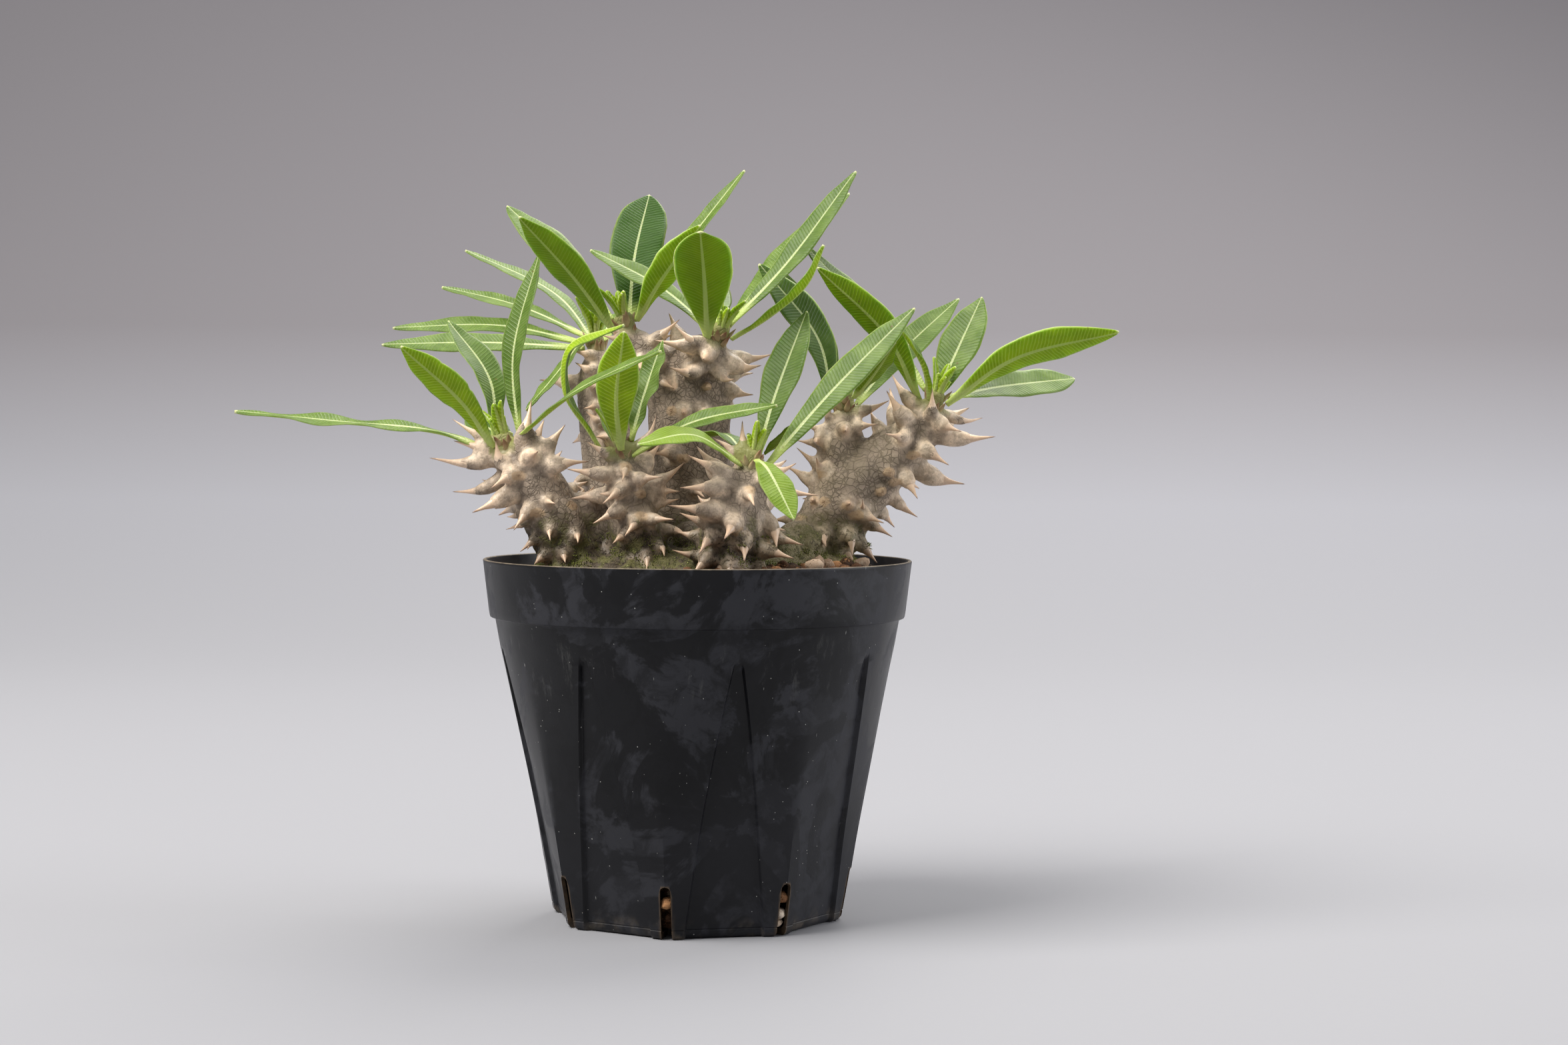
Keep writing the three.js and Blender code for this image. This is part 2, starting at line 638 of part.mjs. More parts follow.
// A thorn is kept where it meets no leaf, stays over the soil and inside the rim.
function thornIsClear(thorn, ribs) {
  const tip = thornTip(thorn);
  const belowRim = tip.z < POT.height + CLEARANCE.rim;
  if (tip.z < CLEARANCE.soil) return false;
  if (belowRim && Math.hypot(tip.x, tip.y) > CLEARANCE.reach) return false;
  const needle = new THREE.Line3(thorn.root, tip);
  const nearest = new THREE.Vector3();
  const bulge = thornBulge(thorn.length);
  return ribs.every(({ point, half }) => {
    const along = needle.closestPointToPointParameter(point, true);
    needle.at(along, nearest);
    const girth = bulge * (along > THORN.needleFrom ? THORN.needleGirth : THORN.profile[0][1]);
    return nearest.distanceTo(point) > half + girth + CLEARANCE.leaf;
  });
}

function buildPlant(ribs) {
  const solids = [buildCaudex()];
  for (const name of Object.keys(STEMS)) {
    solids.push(buildStem(name));
  }
  for (const name of Object.keys(THORNS)) {
    const clear = thornsOf(name).filter((thorn) => thornIsClear(thorn, ribs));
    solids.push(...clear.map(buildThorn));
  }
  return piece('caudex_and_stems', geometryOf(join(solids)), COLOUR.plant);
}

// The leaves

// Half the width of a blade a part of the way along it, from stalk to tip.
function bladeHalfWidth({ width, spoon }, part) {
  const { widestAt, stalkWidth, tipWidth } = LEAF;
  const pointedness = spoon ? LEAF.spoonEnd : LEAF.pointedEnd;
  if (part < widestAt) {
    const swell = Math.sin((part / widestAt) * 90 * DEGREE) ** LEAF.swell;
    return lerp(stalkWidth, width, swell) / 2;
  }
  const fall = (part - widestAt) / (1 - widestAt);
  return lerp(tipWidth, width, 1 - fall ** pointedness) / 2;
}

// The midrib's curve, starting beside the bud on the side that the leaf leans to.
function leafCurve(head, leaf, order) {
  const { place, axis } = headOf(head);
  const lean = vector(leaf.path[0]).sub(place);
  const outward = lean.clone().addScaledVector(axis, -lean.dot(axis)).normalize();
  const side = outward.clone().applyAxisAngle(axis, (leaf.start ?? 0) * DEGREE);
  const steepness = clamp(lean.dot(axis) / lean.length(), 0, 1);
  const start = place.clone().addScaledVector(axis, BUD.leafStart + BUD.leafRise * (order % BUD.levels));
  const budReach = BUD.radius * (1 + STEM.oval + STEM.ribs);
  start.addScaledVector(side, budReach + GAP + (LEAF.stalkThickness / 2) * steepness);
  return { curve: curveThrough([start, ...leaf.path.map(vector)]), outward, axis };
}

// Blade directions at each station: across the blade, and up from its upper face.
function bladeFrames({ curve, outward, axis }, leaf) {
  const frames = [];
  let upper = leaf.face ? vector(leaf.face) : null;
  for (let station = 0; station <= LEAF.spans; station += 1) {
    const part = station / LEAF.spans;
    const along = curve.getTangentAt(part).normalize();
    if (!upper) {
      upper = axis.clone().multiplyScalar(along.dot(outward)).addScaledVector(outward, -along.dot(axis));
    }
    const face = upper.clone().addScaledVector(along, -upper.dot(along)).normalize();
    if (!leaf.face) upper = face.clone();
    face.applyAxisAngle(along, (leaf.roll ?? 0) * DEGREE * Math.min(part / LEAF.rolledBy, 1));
    frames.push({ point: curve.getPointAt(part), across: face.clone().cross(along).negate(), face, part });
  }
  return frames;
}

function bladeStation(frame, leaf) {
  const half = bladeHalfWidth(leaf, frame.part);
  const pastStalk = Math.min(frame.part / LEAF.stalkShare, 1);
  const thick = lerp(LEAF.stalkThickness, LEAF.thickness, pastStalk) / 2;
  const lift = Math.tan((leaf.fold ?? LEAF.fold) * DEGREE) * half;
  const wave = (leaf.wave ?? LEAF.wave) * Math.min(half / LEAF.fullWaveHalfWidth, 1);
  const ruffle = wave * Math.sin(frame.part * LEAF.waveTurns);
  return [-1, 0, 1].map((side) => {
    const middle = frame.point.clone().addScaledVector(frame.across, half * side);
    middle.addScaledVector(frame.face, side === 0 ? 0 : lift + ruffle * side);
    return [middle.clone().addScaledVector(frame.face, thick), middle.addScaledVector(frame.face, -thick)];
  });
}

// A closed blade whose upper and lower faces are split into triangles alike.
function bladeGeometry(stations) {
  const across = stations[0].length;
  const points = stations.flat(2);
  const at = (station, place, face) => (station * across + place) * 2 + face;
  const triangles = [];
  const wall = (a, b) => {
    triangles.push([at(...a, 0), at(...a, 1), at(...b, 1)], [at(...a, 0), at(...b, 1), at(...b, 0)]);
  };
  for (let row = 0; row < stations.length - 1; row += 1) {
    for (let place = 0; place < across - 1; place += 1) {
      const corners = [[row, place], [row, place + 1], [row + 1, place + 1], [row + 1, place]];
      for (const [a, b, c] of [[0, 1, 2], [0, 2, 3]]) {
        triangles.push([at(...corners[a], 0), at(...corners[b], 0), at(...corners[c], 0)]);
        triangles.push([at(...corners[a], 1), at(...corners[c], 1), at(...corners[b], 1)]);
      }
    }
    wall([row + 1, 0], [row, 0]);
    wall([row, across - 1], [row + 1, across - 1]);
  }
  for (let place = 0; place < across - 1; place += 1) {
    wall([0, place], [0, place + 1]);
    wall([stations.length - 1, place + 1], [stations.length - 1, place]);
  }
  return geometryFrom(points, triangles);
}

function buildLeaves() {
  const leaves = [];
  const ribs = [];
  for (const [head, rows] of Object.entries(LEAVES)) {
    rows.forEach((leaf, order) => {
      const frames = bladeFrames(leafCurve(head, leaf, order), leaf);
      const stations = frames.map((frame) => bladeStation(frame, leaf));
      leaves.push(piece(`leaf_${head}_${order + 1}`, bladeGeometry(stations), COLOUR.leaf));
      frames.forEach(({ point, part }) => ribs.push({ point, half: bladeHalfWidth(leaf, part) }));
    });
  }
  return { leaves, ribs };
}

const { leaves, ribs } = buildLeaves();
const pottedPlant = new THREE.Group();
pottedPlant.add(buildPot(), buildSoil(), buildPlant(ribs), ...leaves);

export default pottedPlant;
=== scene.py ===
"""Dresses the solids of a thorned, clump-forming pachypodium in its slit-sided nursery pot.

Lengths are in millimetres, and turned to metres when a mesh is made. +Z is up, -Y is the front of
the plant and +X its right. The origin is the centre of the flat underside of the pot.
"""

import logging
import math
import random
from collections.abc import Callable, Iterable, Sequence
from dataclasses import dataclass, field
from enum import Enum

import bmesh
import bpy
import numpy as np
from mathutils import Matrix, Vector, noise


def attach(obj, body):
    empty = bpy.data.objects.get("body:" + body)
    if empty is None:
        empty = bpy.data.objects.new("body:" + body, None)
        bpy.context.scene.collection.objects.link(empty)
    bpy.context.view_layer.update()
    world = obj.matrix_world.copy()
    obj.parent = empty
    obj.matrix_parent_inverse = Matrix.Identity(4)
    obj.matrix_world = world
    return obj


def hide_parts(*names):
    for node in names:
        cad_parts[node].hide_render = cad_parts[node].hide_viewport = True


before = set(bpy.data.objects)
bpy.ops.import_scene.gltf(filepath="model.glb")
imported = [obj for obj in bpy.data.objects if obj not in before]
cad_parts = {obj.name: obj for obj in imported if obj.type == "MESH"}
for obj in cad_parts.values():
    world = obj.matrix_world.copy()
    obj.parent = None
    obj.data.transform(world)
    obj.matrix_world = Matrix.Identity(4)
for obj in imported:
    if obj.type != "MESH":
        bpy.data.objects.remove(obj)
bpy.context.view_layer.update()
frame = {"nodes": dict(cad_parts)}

LOG = logging.getLogger("potted_plant")
MM = 0.001
GAP = 0.35
SMOOTH = 180.0
GOLDEN_ANGLE = 137.5
UP = np.array([0.0, 0.0, 1.0])
FRONT = np.array([0.0, -1.0, 0.0])
Colour = tuple[float, float, float]
Point = tuple[float, float, float]
Pixel = tuple[float, float]
Profile = tuple[tuple[float, float], ...]


# Small sums


def clamp(value: float, low: float = 0.0, high: float = 1.0) -> float:
    """Keeps a number between two limits."""
    return max(low, min(high, value))


def lerp(start: float, end: float, share: float) -> float:
    """The number a share of the way from start to end."""
    return start + (end - start) * share


def smooth(value: float, low: float, high: float) -> float:
    """Rises from 0 at low to 1 at high with soft ends."""
    share = clamp((value - low) / (high - low))
    return share * share * (3 - 2 * share)


def unit(vector: np.ndarray) -> np.ndarray:
    """The vector at length one."""
    return vector / max(float(np.linalg.norm(vector)), 1e-12)


def turned(vector: np.ndarray, axis: np.ndarray, degrees: float) -> np.ndarray:
    """The vector turned about an axis by the right-hand rule."""
    angle = math.radians(degrees)
    along = axis * float(vector @ axis)
    return along + (vector - along) * math.cos(angle) + np.cross(axis, vector) * math.sin(angle)


def square_to(axis: np.ndarray) -> tuple[np.ndarray, np.ndarray]:
    """Two directions square to an axis, the first as near the front as can be."""
    first = unit(FRONT - axis * float(FRONT @ axis))
    return first, np.cross(axis, first)


def to_half(point: np.ndarray) -> Point:
    """A point rounded to half a millimetre."""
    return tuple(np.round(point * 2) / 2)


def repeatable(seed: int) -> Callable[[], float]:
    """A stream of numbers from 0 to 1 that is the same on every run.

    Args:
        seed: Where the stream starts.

    Returns:
        A function that gives the next number.
    """
    state = seed

    def step() -> float:
        """The next number of the stream."""
        nonlocal state
        state = (state * 1664525 + 1013904223) % 4294967296
        return state / 4294967296

    return step


class Spine:
    """A smooth curve through points, knotted by the square root of their distances."""

    def __init__(self, points: Iterable[Sequence[float]], fine: int = 160) -> None:
        """Sets the curve's points.

        Args:
            points: Three or more points, in millimetres.
            fine: How many steps its length is measured in.
        """
        self.points = [np.array(point[:3], float) for point in points]
        self.fine = fine
        walk = np.array([self.point(step / fine) for step in range(fine + 1)])
        strides = np.linalg.norm(np.diff(walk, axis=0), axis=1)
        self._reached = np.concatenate([[0.0], np.cumsum(strides)])

    @property
    def length(self) -> float:
        """The curve's length."""
        return float(self._reached[-1])

    def point(self, part: float) -> np.ndarray:
        """The point at a part of the way, counted in spans between the given points."""
        rows = self.points
        place = clamp(part) * (len(rows) - 1)
        span = min(int(place), len(rows) - 2)
        weight = place - span
        before = rows[span - 1] if span > 0 else 2 * rows[0] - rows[1]
        after = rows[span + 2] if span + 2 < len(rows) else 2 * rows[-1] - rows[-2]
        return self._bend(before, rows[span], rows[span + 1], after, weight)

    @staticmethod
    def _bend(
        before: np.ndarray, start: np.ndarray, end: np.ndarray, after: np.ndarray, weight: float
    ) -> np.ndarray:
        """One span of the curve, between start and end."""
        first, middle, last = (
            math.sqrt(float(np.linalg.norm(b - a)))
            for a, b in ((before, start), (start, end), (end, after))
        )
        leave = (start - before) / first - (end - before) / (first + middle) + (end - start) / middle
        arrive = (end - start) / middle - (after - start) / (middle + last) + (after - end) / last
        leave = leave * middle
        arrive = arrive * middle
        square = -3 * start + 3 * end - 2 * leave - arrive
        cube = 2 * start - 2 * end + leave + arrive
        return start + weight * (leave + weight * (square + weight * cube))

    def tangent(self, part: float) -> np.ndarray:
        """The direction at a part of the way."""
        return unit(self.point(min(part + 1e-4, 1)) - self.point(max(part - 1e-4, 0)))

    def part_of_length(self, share: float) -> float:
        """The part that lies at a share of the curve's length."""
        spots = np.linspace(0, 1, self.fine + 1)
        return float(np.interp(share * self.length, self._reached, spots))


# Meshes


@dataclass
class Skin:
    """Points and faces in millimetres, with marks that the finishes read."""

    points: list[np.ndarray] = field(default_factory=list)
    faces: list[tuple[int, ...]] = field(default_factory=list)
    marks: dict[str, list[np.ndarray]] = field(default_factory=dict)
    count: int = 0

    def add(
        self,
        points: np.ndarray,
        faces: Iterable[Sequence[int]],
        marks: dict[str, np.ndarray] | None = None,
    ) -> None:
        """Adds one closed form.

        Args:
            points: Its points, one row each.
            faces: Its faces, by row of its own points.
            marks: One row of numbers a point, by name.
        """
        self.faces.extend(tuple(index + self.count for index in face) for face in faces)
        self.points.append(points)
        self.count += len(points)
        for name, values in (marks or {}).items():
            self.marks.setdefault(name, []).append(np.asarray(values, float))

    def mesh(self, name: str) -> bpy.types.Mesh:
        """The skin as a mesh in metres, without its marks."""
        return new_mesh(name, np.concatenate(self.points), self.faces)

    def add_spire(
        self, thorn: "Thorn", profile: Profile, sides: int, wave: float, flat: np.ndarray | None = None
    ) -> None:
        """Adds a pointed tube, marked with how far up it each point lies and with its shade.

        Args:
            thorn: The thorn, scale or shoot.
            profile: Parts of its length, each with a part of the foot's radius.
            sides: Points in a ring.
            wave: How uneven it is.
            flat: The direction that it is flattened in, if it is.
        """
        rings = thorn.tube(profile, sides, wave)
        if flat is not None:
            rings = [ring - np.outer((ring - ring.mean(axis=0)) @ flat, flat) * 0.55 for ring in rings]
        along = np.concatenate([np.repeat([part for part, _ in profile], sides), [0.0, 1.0]])
        marks = np.stack([along, np.full_like(along, thorn.tone), np.zeros_like(along)], axis=1)
        self.add(*closed_tube(rings, thorn.tip), {"thorn": marks})

    def place(self, name: str, dress: "Dress") -> bpy.types.Object:
        """Makes the object, in metres, and dresses it."""
        mesh = self.mesh(name)
        for mark, rows in self.marks.items():
            write_mark(mesh, mark, np.concatenate(rows))
        return place_mesh(name, mesh, dress)


@dataclass(frozen=True)
class Dress:
    """What a piece wears: its finish, a slot name and the solids that it stands for."""

    material: bpy.types.Material
    slot: str
    stands_for: tuple[str, ...] = ()
    sharp_from: float = 60.0


def new_mesh(name: str, points: np.ndarray, faces: list) -> bpy.types.Mesh:
    """A mesh in metres from points in millimetres."""
    mesh = bpy.data.meshes.new(name)
    mesh.from_pydata(points * MM, [], faces)
    return mesh


def linked(name: str, data: bpy.types.ID) -> bpy.types.Object:
    """A new object that holds the data, put in the scene."""
    made = bpy.data.objects.new(name, data)
    bpy.context.scene.collection.objects.link(made)
    return made


def write_mark(mesh: bpy.types.Mesh, name: str, values: np.ndarray) -> None:
    """Writes one number or one triple for each point of a mesh.

    Args:
        mesh: The mesh to mark.
        name: The mark's name, which its finish reads.
        values: A row for each point.
    """
    kind = "FLOAT" if values.ndim == 1 else "FLOAT_VECTOR"
    mark = mesh.attributes.new(name, kind, "POINT")
    mark.data.foreach_set("value" if values.ndim == 1 else "vector", values.astype(np.float32).ravel())


def place_mesh(name: str, mesh: bpy.types.Mesh, dress: Dress) -> bpy.types.Object:
    """Links a mesh as a piece that rides on the part's one body.

    Args:
        name: The piece's name.
        mesh: Its mesh, in metres.
        dress: Its finish, slot and the solids that it stands for.

    Returns:
        The new object.
    """
    mesh.validate()
    mesh.polygons.foreach_set("use_smooth", [True] * len(mesh.polygons))
    mesh.set_sharp_from_angle(angle=math.radians(dress.sharp_from))
    mesh.materials.clear()
    mesh.materials.append(dress.material)
    made = linked(name, mesh)
    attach(made, "root")
    if dress.stands_for:
        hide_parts(*dress.stands_for)
    triangles = sum(len(face.vertices) - 2 for face in mesh.polygons)
    LOG.info("%s: %d triangles", name, triangles)
    return made


def tube_faces(rows: int, count: int) -> list[tuple[int, ...]]:
    """Faces of a closed tube of rings, whose two end points come after the rings' own.

    Args:
        rows: How many rings.
        count: Points in each ring.

    Returns:
        Faces that look outward for rings laid counter-clockwise round the way they go.
    """
    faces: list[tuple[int, ...]] = []
    for row in range(rows - 1):
        for side in range(count):
            onward = (side + 1) % count
            low, high = row * count, (row + 1) * count
            faces.append((low + side, low + onward, high + onward, high + side))
    total, last = rows * count, (rows - 1) * count
    for side in range(count):
        onward = (side + 1) % count
        faces.append((onward, side, total))
        faces.append((last + side, last + onward, total + 1))
    return faces


def closed_tube(rings: Sequence[np.ndarray], end: np.ndarray | None = None) -> tuple[np.ndarray, list]:
    """Points and faces of rings closed at both ends.

    Args:
        rings: The rings, each an array of points.
        end: The point that closes the last ring, or its middle.

    Returns:
        The points and the faces.
    """
    first = rings[0].mean(axis=0)
    last = rings[-1].mean(axis=0) if end is None else end
    return np.concatenate([*rings, first[None], last[None]]), tube_faces(len(rings), len(rings[0]))


def settled(made: bpy.types.Object) -> bpy.types.Mesh:
    """The mesh of an object with its modifiers applied, the object itself being removed."""
    graph = bpy.context.evaluated_depsgraph_get()
    mesh = bpy.data.meshes.new_from_object(made.evaluated_get(graph))
    bpy.data.objects.remove(made)
    return mesh


def read_rows(rows: Sequence, name: str, width: int, kind: type = np.float32) -> np.ndarray:
    """One property of all the points or edges of a mesh, a row for each."""
    flat = np.empty(len(rows) * width, kind)
    rows.foreach_get(name, flat)
    return flat.reshape(-1, width)


def mesh_points(mesh: bpy.types.Mesh) -> np.ndarray:
    """A mesh's points in millimetres."""
    return read_rows(mesh.vertices, "co", 3).astype(float) / MM


def move_points(mesh: bpy.types.Mesh, points: np.ndarray) -> None:
    """Moves a mesh's points to new places in millimetres."""
    mesh.vertices.foreach_set("co", (points * MM).astype(np.float32).ravel())


def neighbour_mean(points: np.ndarray, edges: np.ndarray) -> np.ndarray:
    """The mean of each point's neighbours."""
    total = np.zeros_like(points)
    met = np.bincount(edges.ravel(), minlength=len(points)).astype(float)
    for near, far in ((0, 1), (1, 0)):
        for axis in range(points.shape[1]):
            total[:, axis] += np.bincount(
                edges[:, near], weights=points[edges[:, far], axis], minlength=len(points)
            )
    return total / np.maximum(met, 1)[:, None]


# Finishes


class Graph:
    """The nodes of one material, made with short calls. Lengths are in millimetres."""

    def __init__(self, name: str) -> None:
        """Starts a material with its shader.

        Args:
            name: The material's name.
        """
        self.material = bpy.data.materials.new(name)
        self.material.use_nodes = True
        self.tree = self.material.node_tree
        self.tree.nodes.clear()
        output = self.tree.nodes.new("ShaderNodeOutputMaterial")
        self.shader = self.tree.nodes.new("ShaderNodeBsdfPrincipled")
        self.tree.links.new(self.shader.outputs["BSDF"], output.inputs["Surface"])
        self.where = self.tree.nodes.new("ShaderNodeTexCoord").outputs["Object"]

    def put(self, socket: bpy.types.NodeSocket, value: object) -> None:
        """Links a socket to another, or sets it to a constant."""
        if isinstance(value, bpy.types.NodeSocket):
            self.tree.links.new(value, socket)
        elif isinstance(value, tuple) and socket.type == "RGBA":
            socket.default_value = (*value, 1.0)
        else:
            socket.default_value = value

    def set(self, **values: object) -> None:
        """Sets sockets of the shader, with underscores for the spaces in their names."""
        for name, value in values.items():
            self.put(self.shader.inputs[name.replace("_", " ")], value)

    def sum(self, operation: str, *values: object) -> bpy.types.NodeSocket:
        """A sum on numbers."""
        node = self.tree.nodes.new("ShaderNodeMath")
        node.operation = operation
        for socket, value in zip(node.inputs, values):
            self.put(socket, value)
        return node.outputs[0]

    def times(self, first: object, second: object) -> bpy.types.NodeSocket:
        """The product of two numbers."""
        return self.sum("MULTIPLY", first, second)

    def mark(self, name: str) -> bpy.types.NodeSocket:
        """A number that the mesh carries at each point."""
        node = self.tree.nodes.new("ShaderNodeAttribute")
        node.attribute_name = name
        return node.outputs["Fac"]

    def marks(self, name: str) -> tuple[bpy.types.NodeSocket, ...]:
        """The three numbers that the mesh carries at each point."""
        node = self.tree.nodes.new("ShaderNodeAttribute")
        node.attribute_name = name
        return self.split(node.outputs["Vector"])

    def split(self, vector: bpy.types.NodeSocket) -> tuple[bpy.types.NodeSocket, ...]:
        """The three numbers of a vector."""
        node = self.tree.nodes.new("ShaderNodeSeparateXYZ")
        self.put(node.inputs[0], vector)
        return tuple(node.outputs)

    def joined(self, first: object, second: object, third: object) -> bpy.types.NodeSocket:
        """A vector of three numbers."""
        node = self.tree.nodes.new("ShaderNodeCombineXYZ")
        for socket, value in zip(node.inputs, (first, second, third)):
            self.put(socket, value)
        return node.outputs[0]

    def stretched(self, across: float, deep: float, high: float) -> bpy.types.NodeSocket:
        """The place on the object, with each direction scaled."""
        node = self.tree.nodes.new("ShaderNodeMapping")
        self.put(node.inputs["Vector"], self.where)
        node.inputs["Scale"].default_value = (across, deep, high)
        return node.outputs[0]

    def height(self) -> bpy.types.NodeSocket:
        """Height over the surface that the pot stands on, in millimetres."""
        return self.times(self.split(self.where)[2], 1 / MM)

    def cloud(
        self,
        size: float,
        detail: float = 3.0,
        roughness: float = 0.55,
        warp: float = 0.0,
        where: bpy.types.NodeSocket | None = None,
        shift: float = 0.0,
    ) -> bpy.types.NodeSocket:
        """Soft noise from about 0.25 to 0.75.

        Args:
            size: The size of a patch.
            detail: How many finer layers it has.
            roughness: How strong those are.
            warp: How far it is distorted.
            where: The coordinates, in metres, or the place on the object.
            shift: A number that makes this noise unlike the others.

        Returns:
            The noise.
        """
        node = self.tree.nodes.new("ShaderNodeTexNoise")
        node.noise_dimensions = "4D"
        self.put(node.inputs["Vector"], where or self.where)
        node.inputs["W"].default_value = shift
        node.inputs["Scale"].default_value = 1 / (size * MM)
        node.inputs["Detail"].default_value = detail
        node.inputs["Roughness"].default_value = roughness
        node.inputs["Distortion"].default_value = warp
        return node.outputs["Fac"]

    def cells(
        self, size: float, kind: str = "F1", where: bpy.types.NodeSocket | None = None
    ) -> bpy.types.NodeSocket:
        """Cells of about one size.

        Args:
            size: The size of a cell.
            kind: Which distance is measured, such as F1 or DISTANCE_TO_EDGE.
            where: The coordinates, in metres, or the place on the object.

        Returns:
            The distance.
        """
        node = self.tree.nodes.new("ShaderNodeTexVoronoi")
        node.feature = kind
        self.put(node.inputs["Vector"], where or self.where)
        node.inputs["Scale"].default_value = 1 / (size * MM)
        return node.outputs["Distance"]

    def warped(self, amount: float, size: float) -> bpy.types.NodeSocket:
        """The place on the object, pushed about by noise.

        Args:
            amount: How far, at most.
            size: The size of a push.

        Returns:
            Coordinates in metres.
        """
        swirl = self.tree.nodes.new("ShaderNodeTexNoise")
        self.put(swirl.inputs["Vector"], self.where)
        swirl.inputs["Scale"].default_value = 1 / (size * MM)
        push = self.tree.nodes.new("ShaderNodeVectorMath")
        push.operation = "MULTIPLY_ADD"
        self.put(push.inputs[0], swirl.outputs["Color"])
        push.inputs[1].default_value = (amount * MM * 2,) * 3
        self.put(push.inputs[2], self.where)
        return push.outputs[0]

    def rise(self, value: object, low: float, high: float) -> bpy.types.NodeSocket:
        """From 0 at low to 1 at high with soft ends. High may be the smaller."""
        node = self.tree.nodes.new("ShaderNodeMapRange")
        node.interpolation_type = "SMOOTHSTEP"
        turned_round = low > high
        self.put(node.inputs["Value"], value)
        node.inputs["From Min"].default_value = min(low, high)
        node.inputs["From Max"].default_value = max(low, high)
        node.inputs["To Min"].default_value = float(turned_round)
        node.inputs["To Max"].default_value = float(not turned_round)
        return node.outputs["Result"]

    def span(self, value: object, low: float, high: float) -> bpy.types.NodeSocket:
        """A number from 0 to 1 laid out from low to high."""
        return self.sum("MULTIPLY_ADD", value, high - low, low)

    def mix(self, share: object, first: object, second: object) -> bpy.types.NodeSocket:
        """Two colours mixed.

        Args:
            share: How much of the second, from 0 to 1.
            first: A colour or a socket.
            second: A colour or a socket.

        Returns:
            The colour.
        """
        node = self.tree.nodes.new("ShaderNodeMix")
        node.data_type = "RGBA"
        self.put(node.inputs["Factor"], share)
        self.put(node.inputs[6], first)
        self.put(node.inputs[7], second)
        return node.outputs[2]

    def ramp(self, value: object, *stops: tuple[float, Colour]) -> bpy.types.NodeSocket:
        """A colour that changes along a number from 0 to 1."""
        node = self.tree.nodes.new("ShaderNodeValToRGB")
        self.put(node.inputs[0], value)
        elements = node.color_ramp.elements
        elements[0].position, elements[0].color = stops[0][0], (*stops[0][1], 1)
        elements[1].position, elements[1].color = stops[-1][0], (*stops[-1][1], 1)
        for position, colour in stops[1:-1]:
            elements.new(position).color = (*colour, 1)
        return node.outputs["Color"]

    def bump(self, *layers: tuple[object, float]) -> None:
        """Raises the surface by layers, each a number and its height in millimetres."""
        normal = None
        for value, tall in layers:
            node = self.tree.nodes.new("ShaderNodeBump")
            node.inputs["Distance"].default_value = tall * MM
            self.put(node.inputs["Height"], value)
            if normal is not None:
                self.put(node.inputs["Normal"], normal)
            normal = node.outputs["Normal"]
        self.put(self.shader.inputs["Normal"], normal)


